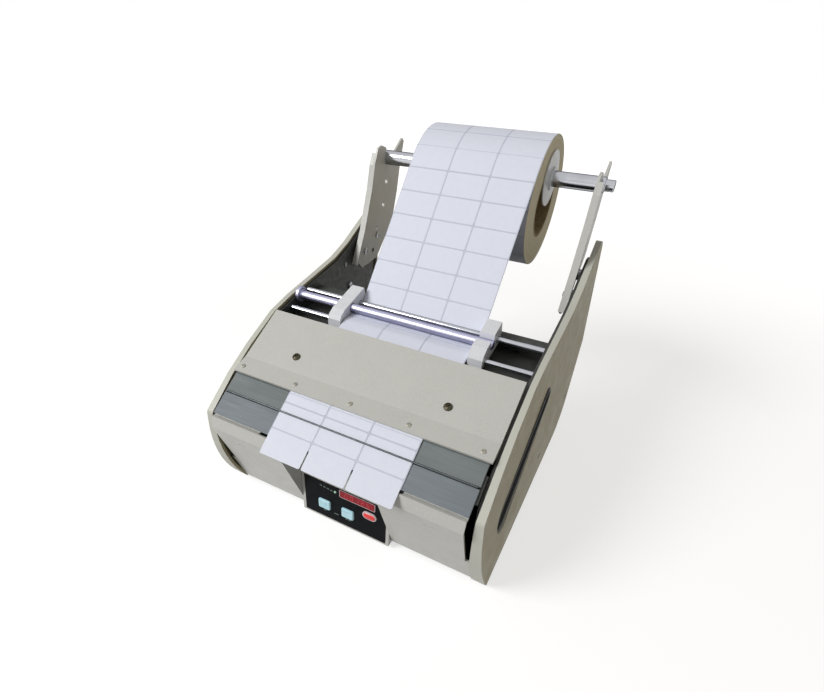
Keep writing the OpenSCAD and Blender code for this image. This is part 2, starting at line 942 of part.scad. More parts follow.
module arm() {
    outline = concat(arm_front, arm_head_front, [shaft_c + 3 * notch_dir], arm_head_rear, arm_rear);
    difference() {
        union() {
            across(arm_in, arm_in + arm_t)
                polygon(reversed(outline));
            across(arm_in, arm_in + arm_fold)
                polygon(shell_band(fold_line, -arm_t));
        }
        across(arm_in - 1, arm_in + arm_fold + 1)
            polygon([shaft_c - notch_r * notch_n, shaft_c - notch_r * notch_n + 30 * notch_dir,
                shaft_c + 24 * notch_n + 30 * notch_dir, shaft_c + notch_r * notch_n]);
        bar_x(arm_in - 1, arm_in + arm_fold + 1, shaft_c, notch_r);
        for (p = arm_holes)
            bar_x(arm_in - 1, arm_in + arm_t + 1, p, arm_hole_r);
        for (p = arm_bolts)
            bar_x(arm_in - 1, arm_in + arm_t + 1, p, 1.55);
    }
}

module right_arm() {
    color([0.72, 0.69, 0.58])
        stand()
            arm();
}

module left_arm() {
    color([0.72, 0.69, 0.58])
        stand()
            mirror([1, 0, 0])
                arm();
}

module arm_spacers() {
    color([0.70, 0.70, 0.70])
        stand()
            for (s = [0, 1], p = arm_bolts)
                mirror([s, 0, 0])
                    difference() {
                        bar_x(arm_in + arm_t + 0.02, frame_in - 0.02, p, 4.5);
                        bar_x(arm_in, frame_in + 1, p, 1.7);
                    }
}

// Screws through the arms and spacers, and two on the inside of each frame
module frame_screws() {
    color([0.85, 0.85, 0.82])
        stand()
            for (s = [0, 1])
                mirror([s, 0, 0]) {
                    for (p = arm_bolts)
                        translate([arm_in - 0.02, p[0], p[1]])
                            rotate([0, -90, 0])
                                pan_screw(3, frame_x - arm_in);
                    translate([frame_in - 0.02, frame_screw_at[0][0], frame_screw_at[0][1]])
                        rotate([0, -90, 0])
                            pan_screw(frame_head_r, frame_t);
                    translate([frame_in - 0.02, frame_screw_at[1][0], frame_screw_at[1][1]])
                        rotate([0, -90, 0])
                            pan_screw(frame_head_r * 0.6, frame_t);
                }
}

module roll_shaft() {
    step = 7;
    color([0.80, 0.80, 0.82])
        stand()
            union() {
                bar_x(-shaft_len / 2 + step, shaft_len / 2 - step, shaft_c, shaft_r);
                bar_x(-shaft_len / 2, shaft_len / 2, shaft_c, shaft_r - 1.6);
            }
}

module roll_flanges() {
    color([0.92, 0.91, 0.88])
        stand()
            for (s = [-1, 1])
                translate([web_x + s * (web_w / 2 + gap), shaft_c[0], shaft_c[1]])
                    rotate([0, s * 90, 0])
                        rotate_extrude()
                            polygon([[shaft_r + 0.02, 0], [flange_r - 0.5, 0], [flange_r, 0.5],
                                [flange_r, 1.2], [shaft_r + 3, flange_t], [shaft_r + 3, hub_t],
                                [shaft_r + 0.02, hub_t]]);
}

module roll_core() {
    color([0.62, 0.52, 0.38])
        stand()
            difference() {
                bar_x(web_lo, web_hi, roll_c, core_r + core_wall);
                bar_x(web_lo - 1, web_hi + 1, roll_c, core_r);
            }
}

module label_roll() {
    color([0.90, 0.89, 0.86])
        stand()
            difference() {
                bar_x(web_lo, web_hi, roll_c, roll_r);
                bar_x(web_lo - 1, web_hi + 1, roll_c, core_r + core_wall + 0.02);
            }
}

// ---------- label web ----------

// Straight run from the roll to the rear rod: the common inner tangent of both circles
web_c = roll_c - rear_rod;
web_a = atan2(web_c[1], web_c[0]) + asin((roll_r + rod_r + 2 * web_over) / norm(web_c));
web_dir = [cos(web_a), sin(web_a)];
web_n = [-web_dir[1], web_dir[0]];
roll_leave = roll_c + (roll_r + web_over) * web_n;
rod_meet = rear_rod - (rod_r + web_over) * web_n;
under_rod = arc(rear_rod, rod_r + web_over, web_a - 90, -93, 4);
over_rod = arc(front_rod, rod_r + web_over, 87, 101, 3);
stage_in = lip + [lip_d, lip_d * tan(lip_slope - 5)] + [-0.1, web_over + 0.1];

module feed_web() {
    color([0.93, 0.93, 0.95])
        stand()
            across(web_lo, web_hi)
                polygon(band(concat([roll_leave], under_rod, over_rod), web_t));
}

module stage_web() {
    start = over_rod[3] + wedge * unit(stage_in - over_rod[3]);
    color([0.93, 0.93, 0.95])
        stand()
            across(web_lo, web_hi)
                polygon(band([start, stage_in, lip + web_over * up_n + [-0.6, 0.2], peel + web_over * up_n], web_t));
}

module front_labels() {
    color([0.95, 0.95, 0.97])
        stand()
            for (k = [-1, 0, 1])
                translate([web_x + k * column_w, 0, 0])
                    across(-(column_w - label_gap) / 2, (column_w - label_gap) / 2)
                        polygon(band([label_root, label_root + label_out * label_dir], label_t));
}

// Backing paper from the peel edge through the rollers and down to the slot in the base
module liner_return() {
    t = web_t * 0.6;
    clear = t / 2 + 0.3;
    edge = peel + [-0.3, -0.5 - clear];
    d = drive_c - edge;
    a = atan2(d[1], d[0]) - asin((drive_r + clear) / norm(d));
    wrap = arc(drive_c, drive_r + nip / 2, a - 90, -90, 4);
    path = concat([edge], wrap, [[drive_c[0] + 8, wrap[4][1]], [exit_y - 6, wrap[4][1] - 3],
        [exit_y + 1, wrap[4][1] - 12], [exit_y + 2.5, wrap[4][1] - 24], [exit_y + 2.5, 0]]);
    color([0.90, 0.86, 0.72])
        stand()
            across(web_lo + 1, web_hi - 1)
                polygon(band(path, t));
}

// ---------- drive ----------

module drive_roller() {
    color([0.12, 0.12, 0.13])
        stand()
            difference() {
                bar_x(-roller_half, roller_half, drive_c, drive_r);
                bar_x(-roller_half - 1, roller_half + 1, drive_c, axle_r + 0.02);
            }
}

module drive_axle() {
    color([0.78, 0.79, 0.80])
        stand()
            bar_x(-frame_x + 0.2, frame_x - 0.2, drive_c, axle_r);
}

module drive_wheel() {
    color([0.15, 0.15, 0.15])
        stand()
            difference() {
                union() {
                    bar_x(wheel_x - wheel_w / 2, wheel_x + wheel_w / 2, drive_c, wheel_r - belt_t / 2 - 0.3);
                    for (s = [-1, 1])
                        bar_x(wheel_x + s * (wheel_w / 2 + 0.5) - 0.5, wheel_x + s * (wheel_w / 2 + 0.5) + 0.5,
                            drive_c, wheel_r + 2);
                }
                bar_x(wheel_x - 10, wheel_x + 10, drive_c, axle_r + 0.02);
            }
}

module axle_bearings() {
    color([0.70, 0.62, 0.40])
        stand()
            for (s = [-1, 1])
                mirror([s < 0 ? 1 : 0, 0, 0])
                    difference() {
                        union() {
                            bar_x(frame_in - 2, frame_x, drive_c, 7);
                            bar_x(frame_in - 2, frame_in - 0.02, drive_c, 8.5);
                        }
                        bar_x(frame_in - 3, frame_x + 1, drive_c, axle_r + 0.05);
                    }
}

block_x = 66;
block_w = 10;

module pinch_roller() {
    color([0.16, 0.16, 0.17])
        stand()
            union() {
                bar_x(-roller_half, roller_half, pinch_c, pinch_r);
                bar_x(-block_x - block_w, block_x + block_w, pinch_c, axle_r);
            }
}

block_h = 9;
post_h = pinch_c[1] - block_h - base_z - base_t;

// Blocks that carry the ends of the pinch roller and slide down on two posts
module pinch_blocks() {
    color([0.85, 0.85, 0.83])
        stand()
            for (s = [-1, 1])
                difference() {
                    translate([s * block_x - (s < 0 ? block_w : 0), pinch_c[0] - 7, pinch_c[1] - block_h])
                        cube([block_w, 14, block_h + 6]);
                    bar_x(-100, 100, pinch_c, axle_r + 0.06);
                    translate([s * (block_x + block_w / 2), pinch_c[0], pinch_c[1] - block_h - 1])
                        cylinder(r = 1.56, h = 5);
                }
}

// One coil spring under each block, drawn as a ribbed sleeve, with its post
module pinch_springs() {
    turns = 6;
    pitch = (post_h - gap - 0.02) / turns;
    coil_r = 3.4;
    wire = 0.6;
    color([0.75, 0.76, 0.78])
        stand()
            for (s = [-1, 1])
                translate([s * (block_x + block_w / 2), pinch_c[0], base_z + base_t]) {
                    cylinder(r = 1.5, h = post_h + 2.5 - pinch_travel);
                    translate([0, 0, 0.02])
                        rotate_extrude()
                            polygon(concat([[coil_r - 2 * wire, 0], [coil_r, 0]],
                                [for (k = [0:turns - 1]) each [[coil_r + wire, pitch * (k + 0.25)],
                                    [coil_r, pitch * (k + 0.5)], [coil_r + wire, pitch * (k + 0.75)],
                                    [coil_r, pitch * (k + 1)]]],
                                [[coil_r - 2 * wire, pitch * turns]]));
                }
}

motor_r = 15;
motor_len = 44;
motor_x = 32;
shelf = motor_x + motor_len + 1;

module motor() {
    color([0.55, 0.56, 0.58])
        stand()
            union() {
                bar_x(motor_x, motor_x + motor_len, motor_c, motor_r);
                bar_x(motor_x - 5, motor_x, motor_c, 5);
            }
}

module motor_bracket() {
    color([0.45, 0.46, 0.47])
        stand()
            difference() {
                union() {
                    across(shelf - 0.98, shelf + 1)
                        polygon([[motor_c[0] - 17, base_z + base_t + 0.02], [motor_c[0] + 17, base_z + base_t + 0.02],
                            [motor_c[0] + 17, motor_c[1] + 16], [motor_c[0] - 17, motor_c[1] + 16]]);
                    translate([shelf - 13, motor_c[0] - 17, base_z + base_t + 0.02])
                        cube([14, 34, 2]);
                }
                bar_x(shelf - 2, shelf + 2, motor_c, 3.2);
            }
}

module motor_wheel() {
    color([0.15, 0.15, 0.15])
        stand()
            union() {
                bar_x(wheel_x - wheel_w / 2, wheel_x + wheel_w / 2, motor_c, pinion_r - belt_t / 2 - 0.3);
                for (s = [-1, 1])
                    bar_x(wheel_x + s * (wheel_w / 2 + 0.5) - 0.5, wheel_x + s * (wheel_w / 2 + 0.5) + 0.5,
                        motor_c, pinion_r + 2);
                bar_x(motor_x + motor_len + 0.3, wheel_x, motor_c, 2);
            }
}

// Flat loop round both wheels
module belt_loop(d) {
    v = motor_c - drive_c;
    turn = atan2(v[1], v[0]);
    tilt = acos((wheel_r - pinion_r) / norm(v));
    polygon(concat(arc(drive_c, wheel_r + d, turn + tilt, turn + 360 - tilt, 28),
        arc(motor_c, pinion_r + d, turn - tilt, turn + tilt, 16)));
}

module drive_belt() {
    color([0.10, 0.10, 0.10])
        stand()
            difference() {
                across(wheel_x - wheel_w / 2 + 0.3, wheel_x + wheel_w / 2 - 0.3)
                    belt_loop(belt_t / 2);
                across(wheel_x - wheel_w / 2 - 1, wheel_x + wheel_w / 2 + 1)
                    belt_loop(-belt_t / 2);
            }
}

// ---------- power ----------

module power_inlet() {
    color([0.07, 0.07, 0.07])
        stand()
            difference() {
                union() {
                    translate([inlet_x - inlet_w / 2 + 0.15, rear_y - 16, inlet_z - inlet_h / 2 + 0.15])
                        cube([inlet_w - 0.3, 16.5 + rear_t, inlet_h - 0.3]);
                    translate([inlet_x - inlet_w / 2 - 6, rear_y + rear_t + 0.02, inlet_z - inlet_h / 2 - 2])
                        cube([inlet_w + 12, 2.5, inlet_h + 4]);
                }
                translate([inlet_x - 11, rear_y - 11, inlet_z - 7.5])
                    cube([22, 20, 15]);
            }
    color([0.07, 0.07, 0.07])
        stand()
            for (x = [-7, 0, 7])
                translate([inlet_x + x - 1, rear_y - 11.1, inlet_z - 2 + (x == 0 ? 3 : -1)])
                    cube([2, 9, 4]);
}

rocker_a = 10;
rocker_c = [rear_y + rear_t - 4.2, inlet_z];
rocker_h = switch_h - 3;
rocker_pin = 1;

// Frame of the power switch, snapped into the rear wall
module switch_body() {
    side = 0.95;
    depth = 12;
    color([0.06, 0.06, 0.06])
        stand()
            translate([switch_x, rear_y, inlet_z])
                difference() {
                    union() {
                        translate([-switch_w / 2 + 0.15, rear_t - depth, -switch_h / 2 + 0.15])
                            cube([switch_w - 0.3, depth + 0.5, switch_h - 0.3]);
                        translate([-switch_w / 2 - 1.2, rear_t + 0.02, -switch_h / 2 - 1.2])
                            cube([switch_w + 2.4, 1.3, switch_h + 2.4]);
                    }
                    translate([-switch_w / 2 + 0.15 + side, rear_t - 9.5, -rocker_h / 2 - gap])
                        cube([switch_w - 0.3 - 2 * side, 20, rocker_h + 2 * gap]);
                    translate([0, rocker_c[0] - rear_y, -switch_h / 2 + 0.35])
                        cylinder(r = rocker_pin + 0.06, h = switch_h - 0.7);
                }
}

// Rocker of the power switch, tipped towards its off side
module power_switch() {
    color([0.10, 0.10, 0.10])
        stand()
            translate([switch_x, rocker_c[0], rocker_c[1]])
                rotate([0, 0, rocker_a]) {
                    translate([0, 0, -rocker_h / 2])
                        linear_extrude(height = rocker_h)
                            polygon([[-7, -3], [7, -3], [7.2, 6.2], [0, 4.7], [-7.2, 6.2]]);
                    translate([0, 0, -rocker_h / 2 - gap - 0.5])
                        cylinder(r = rocker_pin, h = rocker_h + 2 * gap + 1);
                }
}

// ---------- drawing ----------

base_plate();
left_frame();
right_frame();
rear_wall();
web_tray();
left_front_sheet();
right_front_sheet();
panel_housing();
panel_overlay();
display_window();
status_light();
left_button();
right_button();
red_button();
circuit_board();
stage_plate();
peel_plate();
plate_beam();
hold_wire();
label_sensor();
top_cover();
lip_screws();
cover_screws();
left_side_cover();
right_side_cover();
left_grip_cup();
right_grip_cup();
side_screws();
front_rod();
rear_rod();
hold_down_bar();
left_guide();
right_guide();
left_arm();
right_arm();
arm_spacers();
frame_screws();
roll_shaft();
roll_flanges();
roll_core();
label_roll();
feed_web();
stage_web();
front_labels();
liner_return();
drive_roller();
drive_axle();
drive_wheel();
axle_bearings();
pinch_roller();
pinch_blocks();
pinch_springs();
motor();
motor_bracket();
motor_wheel();
drive_belt();
power_inlet();
switch_body();
power_switch();
feet();
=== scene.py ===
import json
from math import atan2, asin, ceil, cos, hypot, pi, radians, sin, tan

import bmesh
import bpy
from mathutils import Matrix, Vector

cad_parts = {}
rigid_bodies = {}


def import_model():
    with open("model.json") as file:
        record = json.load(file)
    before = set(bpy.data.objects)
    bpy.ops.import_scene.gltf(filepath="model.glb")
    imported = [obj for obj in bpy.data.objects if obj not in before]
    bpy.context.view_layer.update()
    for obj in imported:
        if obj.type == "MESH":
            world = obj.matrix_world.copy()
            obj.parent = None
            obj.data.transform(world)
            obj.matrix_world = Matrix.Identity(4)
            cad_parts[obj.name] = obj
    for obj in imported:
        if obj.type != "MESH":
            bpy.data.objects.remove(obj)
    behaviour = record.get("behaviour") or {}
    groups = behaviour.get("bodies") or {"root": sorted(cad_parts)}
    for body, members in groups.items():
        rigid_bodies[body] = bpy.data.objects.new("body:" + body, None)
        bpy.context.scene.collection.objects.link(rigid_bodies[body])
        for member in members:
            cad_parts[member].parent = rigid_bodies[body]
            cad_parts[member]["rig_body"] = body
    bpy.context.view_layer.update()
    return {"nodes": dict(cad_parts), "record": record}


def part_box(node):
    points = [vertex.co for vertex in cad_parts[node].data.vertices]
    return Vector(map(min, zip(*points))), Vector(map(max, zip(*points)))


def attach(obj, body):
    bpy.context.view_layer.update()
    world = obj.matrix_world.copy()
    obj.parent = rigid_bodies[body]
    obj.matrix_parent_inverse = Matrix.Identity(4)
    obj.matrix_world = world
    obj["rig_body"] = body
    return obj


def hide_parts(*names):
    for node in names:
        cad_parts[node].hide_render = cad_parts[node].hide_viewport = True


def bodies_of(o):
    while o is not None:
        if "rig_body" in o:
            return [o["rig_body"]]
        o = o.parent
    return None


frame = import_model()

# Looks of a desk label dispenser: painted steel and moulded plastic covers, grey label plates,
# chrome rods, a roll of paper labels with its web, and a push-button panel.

NODES = frame["nodes"]
MM = 0.001
# Points of a CAD mesh nearer than this are one point, in metres
MERGE = 2e-6

# ---------- helpers ----------


def in_scene(name, data):
    """A new object for that data, in the scene."""
    made = bpy.data.objects.new(name, data)
    bpy.context.scene.collection.objects.link(made)
    return made


def to_mesh(name, shape):
    """Plain mesh of a bmesh shape, which is freed."""
    mesh = bpy.data.meshes.new(name)
    shape.to_mesh(mesh)
    shape.free()
    return mesh


def smooth(mesh, sharp):
    """Smooth shading, with edges that turn by that many degrees or more kept sharp."""
    for polygon in mesh.polygons:
        polygon.use_smooth = True
    mesh.set_sharp_from_angle(angle=radians(sharp))
    return mesh


def feed(tree, socket, value):
    """Links an output to the socket, or sets the socket's own value."""
    if isinstance(value, bpy.types.NodeSocket):
        tree.links.new(value, socket)
    else:
        socket.default_value = value


def add_node(tree, kind, settings=None, *first, **inputs):
    """Adds a node: values for its first sockets go by place, the others by name."""
    made = tree.nodes.new(kind)
    for key, value in (settings or {}).items():
        setattr(made, key, value)
    for socket, value in zip(made.inputs, first):
        feed(tree, socket, value)
    for key, value in inputs.items():
        feed(tree, made.inputs[key.replace("_", " ")], value)
    return made


# ---------- camera ----------

IMAGE_W = 824
IMAGE_H = 692
FOCAL_PX = 504.57
CENTRE_PX = (379.46, 398.03)
CAMERA_AT = Vector((0.14507, -0.34304, 0.30893))
CAMERA_TURN = radians(28.16)
CAMERA_DOWN = radians(34.92)
CAMERA_ROLL = radians(-1.86)


def make_camera():
    """Camera at the photograph's place: turn about Z, tilt down and a small roll."""
    turn, tilt = CAMERA_TURN, CAMERA_DOWN
    ahead = Vector((-sin(turn) * cos(tilt), cos(turn) * cos(tilt), -sin(tilt)))
    right = Vector((cos(turn), sin(turn), 0))
    below = ahead.cross(right)
    across = cos(CAMERA_ROLL) * right + sin(CAMERA_ROLL) * below
    down = -sin(CAMERA_ROLL) * right + cos(CAMERA_ROLL) * below
    data = bpy.data.cameras.new("camera")
    data.sensor_width = 36.0
    data.lens = data.sensor_width * FOCAL_PX / IMAGE_W
    data.shift_x = (IMAGE_W / 2 - CENTRE_PX[0]) / IMAGE_W
    data.shift_y = (CENTRE_PX[1] - IMAGE_H / 2) / IMAGE_W
    data.clip_start = 0.01
    camera = in_scene("camera", data)
    axes = Matrix((across, -down, -ahead)).transposed()
    camera.matrix_world = Matrix.Translation(CAMERA_AT) @ axes.to_4x4()
    bpy.context.scene.camera = camera


make_camera()

# ---------- places, in the side view ----------

# The housing's front bottom edge, from which the machine's heights and depths are measured
NOSE_Y = 23.4
EDGE_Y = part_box("left_side_cover")[0].y + NOSE_Y * MM
EDGE_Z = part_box("left_side_cover")[0].z


def side(y, z):
    """A point of the side view, (Y, Z) in metres, from millimetres behind and above that edge."""
    return Vector((EDGE_Y + y * MM, EDGE_Z + z * MM))


def middle(node):
    """Centre of a node, as a point of the side view."""
    lo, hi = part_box(node)
    return Vector(((lo.y + hi.y) / 2, (lo.z + hi.z) / 2))


PLATE_SLOPE = radians(35)
DOWN = Vector((-cos(PLATE_SLOPE), -sin(PLATE_SLOPE)))
UP = Vector((-sin(PLATE_SLOPE), cos(PLATE_SLOPE)))
PEEL = side(-25.5, 85)
SEAM = PEEL - 18.4 * MM * DOWN
LIP = SEAM - 15 * MM * DOWN
LIP_D = 13.9 * MM
LIP_SLOPE = radians(18)
TOP_SLOPE = radians(29.3)

FRONT_ROD = middle("front_rod")
REAR_ROD = middle("rear_rod")
ROD_R = 2.25 * MM
ROLL = middle("label_roll")
ROLL_R = (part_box("label_roll")[1].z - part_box("label_roll")[0].z) / 2
DRIVE = middle("drive_roller")
DRIVE_R = 12 * MM
WEB_LO, WEB_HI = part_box("feed_web")[0].x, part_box("feed_web")[1].x
WEB_X = (WEB_LO + WEB_HI) / 2
COLUMN_W = (WEB_HI - WEB_LO) / 3

# The web's middle runs this far over what carries it; liner below that line, labels above it
WEB_T = 0.3 * MM
WEB_OVER = WEB_T / 2 + 0.3 * MM
LINER_T = 0.15 * MM
WRAP_ROWS = 16
ROW = 2 * pi * ROLL_R / WRAP_ROWS
LABEL_GAP = 1.1 * MM
LABEL_CORNER = 1.3 * MM
LABEL_SLICES = 10
LABEL_DROOP = radians(37)
LABEL_OUT = 13.2 * MM
FEED_GAP = 19.3 * MM
EASE_STEPS = 12
ROLL_SKIN = 0.12 * MM
ROLL_SOFT = 0.25 * MM
CORE_ROOM = 0.02 * MM
# The web clings to the roll this much deeper than it leaves it
CLING_DEPTH = 0.22 * MM

# ---------- materials ----------


def srgb(red, green, blue):
    """Linear colour from 0 to 255 screen values."""
    values = [c / 255 for c in (red, green, blue)]
    linear = [c / 12.92 if c <= 0.04045 else ((c + 0.055) / 1.055) ** 2.4 for c in values]
    return (*linear, 1.0)


class Finish:
    """A Principled material whose patterns read Object coordinates, in metres."""

    def __init__(self, name, colour, roughness, metallic=0.0, **fixed):
        self.material = bpy.data.materials.new(name)
        self.material.use_nodes = True
        self.tree = self.material.node_tree
        self.shader = self.tree.nodes["Principled BSDF"]
        self.place = self.tree.nodes.new("ShaderNodeTexCoord").outputs["Object"]
        self.colour = colour
        self.bumped = None
        self.shader.inputs["Base Color"].default_value = colour
        self.shader.inputs["Roughness"].default_value = roughness
        self.shader.inputs["Metallic"].default_value = metallic
        for socket, value in fixed.items():
            self.shader.inputs[socket.replace("_", " ")].default_value = value

    def node(self, kind, settings=None, *first, **inputs):
        return add_node(self.tree, kind, settings, *first, **inputs)

    def placed(self, centre=(0, 0, 0), stretch=(1, 1, 1)):
        """Coordinates centred on a point and stretched along the axes."""
        moved = self.node("ShaderNodeVectorMath", {"operation": "SUBTRACT"}, self.place, centre)
        return self.node("ShaderNodeVectorMath", {"operation": "MULTIPLY"}, moved.outputs[0],
                         stretch).outputs[0]

    def noise(self, grain, stretch=(1, 1, 1), detail=2.0):
        """Noise with grains of about that many millimetres."""
        texture = self.node("ShaderNodeTexNoise", Vector=self.placed(stretch=stretch),
                            Scale=1 / (grain * MM), Detail=detail)
        return texture.outputs["Fac"]

    def speckle(self, grain):
        """Small round cells of about that many millimetres."""
        texture = self.node("ShaderNodeTexVoronoi", Vector=self.place, Scale=1 / (grain * MM))
        return texture.outputs["Distance"]

    def math(self, operation, *values):
        return self.node("ShaderNodeMath", {"operation": operation}, *values).outputs[0]

    def spread(self, pattern, low, high, start=0.3, end=0.7):
        """Maps the pattern's start..end to low..high."""
        made = self.node("ShaderNodeMapRange", Value=pattern, From_Min=start, From_Max=end,
                         To_Min=low, To_Max=high)
        return made.outputs["Result"]

    def tint(self, pattern, other, start=0.3, end=0.7):
        """Blends the colour so far towards another one where the pattern is high."""
        mix = self.node("ShaderNodeMix", {"data_type": "RGBA"})
        feed(self.tree, mix.inputs[0], self.spread(pattern, 0.0, 1.0, start, end))
        feed(self.tree, mix.inputs[6], self.colour)
        feed(self.tree, mix.inputs[7], other)
        self.colour = mix.outputs[2]
        feed(self.tree, self.shader.inputs["Base Color"], self.colour)

    def roughen(self, pattern, low, high):
        feed(self.tree, self.shader.inputs["Roughness"], self.spread(pattern, low, high))

    def bump(self, pattern, height):
        """Relief of the pattern over any earlier relief; height in millimetres."""
        made = self.node("ShaderNodeBump", Height=pattern, Strength=1.0, Distance=height * MM)
        if self.bumped is not None:
            feed(self.tree, made.inputs["Normal"], self.bumped)
        self.bumped = made.outputs["Normal"]
        feed(self.tree, self.shader.inputs["Normal"], self.bumped)


def shade(colour, factor):
    """The same colour, lighter or darker by a factor."""
    return (*[c * factor for c in colour[:3]], 1.0)


def sheet_paint(name, base):
    """Light warm grey enamel on sheet steel, with a fine orange peel and faint handling marks."""
    finish = Finish(name, base, 0.42, Coat_Weight=0.12, Coat_Roughness=0.25)
    finish.tint(finish.noise(22, detail=4), shade(base, 0.93))
    finish.tint(finish.noise(1.1), shade(base, 1.05))
    finish.roughen(finish.noise(9, detail=5), 0.36, 0.5)
    finish.bump(finish.noise(0.7), 0.012)
    return finish.material


def moulded_plastic_painted_shade():
    """Plastic covers with a fine eroded grain. The sides are painted a darker olive beige, which is
    painted shade, and the rounded rims are painted the paler colour of lit faces, which is painted
    light.
    """
    # Darker olive side colour: the cover's pale colour with painted shade in it, for the faces that
    # look sideways.
    base = srgb(158, 149, 117)
    finish = Finish("beige_plastic", base, 0.5)
    finish.tint(finish.noise(30, detail=3), srgb(149, 140, 107))
    finish.tint(finish.noise(0.8), srgb(166, 158, 129))
    # Painted light and shade by the direction a face points: faces that turn away from the sides (the
    # rims) are tinted pale as painted light, and faces that look sideways keep the olive painted
    # shade.
    normal = finish.node("ShaderNodeTexCoord").outputs["Normal"]
    across = finish.node("ShaderNodeSeparateXYZ", Vector=normal).outputs["X"]
    finish.tint(finish.math("ABSOLUTE", across), srgb(196, 196, 187), 0.97, 0.6)
    finish.roughen(finish.noise(12, detail=4), 0.44, 0.58)
    finish.bump(finish.speckle(0.45), 0.02)
    return finish.material


def frame_steel():
    """Dark grey powder coat with faint scuffs."""
    finish = Finish("dark_steel", srgb(46, 48, 46), 0.55)
    finish.tint(finish.noise(6, detail=6), srgb(60, 62, 58), 0.45, 0.8)
    finish.roughen(finish.noise(4, detail=4), 0.45, 0.65)
    finish.bump(finish.speckle(0.35), 0.02)
    return finish.material


def plate_grey(name, base, light):
    """Brushed grey coating on the label plates, with lines along the machine's width."""
    finish = Finish(name, base, 0.58, 0.1, Specular_IOR_Level=0.35)
    finish.tint(finish.noise(0.5, stretch=(0.02, 1, 1), detail=3), light)
    finish.tint(finish.noise(14, stretch=(0.25, 1, 1), detail=4), shade(base, 0.88))
    finish.roughen(finish.noise(0.6, stretch=(0.03, 1, 1)), 0.5, 0.66)
    finish.bump(finish.noise(0.35, stretch=(0.02, 1, 1)), 0.006)
    return finish.material


def bright_metal(name, base, roughness, edge, grain=0.25):
    """Turned or drawn bright metal: fine lines round the bar, darker towards its edges."""
    finish = Finish(name, base, roughness, 1.0, Specular_Tint=edge)
    finish.tint(finish.noise(9, stretch=(1, 0.4, 0.4), detail=5), shade(base, 0.9))
    finish.roughen(finish.noise(grain, stretch=(1, 0.05, 0.05)), roughness * 0.7, roughness * 1.4)
    finish.bump(finish.noise(grain, stretch=(1, 0.05, 0.05)), 0.002)
    return finish.material


def paper(name, base, deep):
    """Paper with soft mottling and fine fibres."""
    fibre = 0.35
    roughness = 0.62
    finish = Finish(name, base, roughness)
    finish.tint(finish.noise(5, detail=5), deep, 0.35, 0.85)
    finish.tint(finish.noise(fibre, detail=4), shade(base, 1.03))
    finish.roughen(finish.noise(1.2, detail=3), roughness - 0.06, roughness + 0.08)
    finish.bump(finish.noise(fibre, detail=3), 0.008)
    return finish.material


def wound_paper():
    """End faces of the roll: thin rings of label and backing edges."""
    light = srgb(246, 238, 216)
    finish = Finish("roll_paper", light, 0.75)
    place = finish.placed(centre=(0, ROLL.x, ROLL.y), stretch=(0, 1, 1))
    reach = finish.node("ShaderNodeVectorMath", {"operation": "LENGTH"}, place).outputs["Value"]
    uneven = finish.math("MULTIPLY", finish.noise(3.5, detail=3), 0.0016)
    wavy = finish.math("ADD", reach, uneven)
    along = {"noise_dimensions": "1D"}
    rings = finish.node("ShaderNodeTexNoise", along, W=wavy, Scale=1 / (0.55 * MM), Detail=3.0)
    wide = finish.node("ShaderNodeTexNoise", along, W=wavy, Scale=1 / (6 * MM), Detail=2.0)
    finish.tint(rings.outputs["Fac"], srgb(216, 202, 166), 0.38, 0.72)
    finish.tint(wide.outputs["Fac"], srgb(228, 216, 184), 0.4, 0.75)
    finish.bump(rings.outputs["Fac"], 0.08)
    return finish.material


def cardboard():
    """Wound grey-brown board."""
    finish = Finish("cardboard", srgb(166, 144, 108), 0.85)
    finish.tint(finish.noise(0.6, stretch=(0.3, 1, 1), detail=4), srgb(140, 118, 84))
    finish.tint(finish.noise(4, detail=3), srgb(184, 163, 128), 0.45, 0.8)
    finish.bump(finish.noise(0.5, detail=4), 0.03)
    return finish.material


def plain_plastic(name, base, roughness, grain=0.5, height=0.012, **fixed):
    """Moulded plastic in one colour with fine mottling and grain."""
    finish = Finish(name, base, roughness, **fixed)
    finish.tint(finish.noise(8, detail=3), shade(base, 0.9))
    finish.tint(finish.noise(grain), shade(base, 1.08))
    finish.roughen(finish.noise(5, detail=3), roughness * 0.88, roughness * 1.15)
    finish.bump(finish.noise(grain), height)
    return finish.material


def tinted_window():
    """Dark red display window with deeper patches in its smoked plastic."""
    base = srgb(150, 12, 34)
    finish = Finish("display_red", base, 0.3, Specular_IOR_Level=0.2, Emission_Color=srgb(160, 8, 30),
                    Emission_Strength=0.12)
    finish.tint(finish.noise(3.5, stretch=(1, 1, 0.5)), srgb(124, 8, 26))
    finish.roughen(finish.noise(6), 0.26, 0.36)
    finish.bump(finish.noise(2.5), 0.004)
    return finish.material


def lit_plastic(name, base, deep, strength):
    """Clear coloured caps of the buttons and the pilot light, lit a little from behind."""
    roughness = 0.3
    finish = Finish(name, base, roughness, Coat_Weight=0.3, Coat_Roughness=0.15,
                    Emission_Color=base, Emission_Strength=strength)
    finish.tint(finish.noise(3.2, detail=2), deep)
    finish.roughen(finish.noise(1.5), roughness * 0.8, roughness * 1.25)
    finish.bump(finish.noise(0.6), 0.004)
    return finish.material


def board_green():
    """Solder mask with tracks showing through."""
    finish = Finish("board_green", srgb(22, 92, 50), 0.35)
    tracks = finish.node("ShaderNodeTexWave", {"wave_type": "BANDS", "bands_direction": "DIAGONAL"},
                         Vector=finish.place, Scale=260.0, Distortion=3.0, Detail=1.0)
    finish.tint(tracks.outputs["Fac"], srgb(40, 120, 66), 0.6, 0.7)
    finish.bump(tracks.outputs["Fac"], 0.03)
    return finish.material


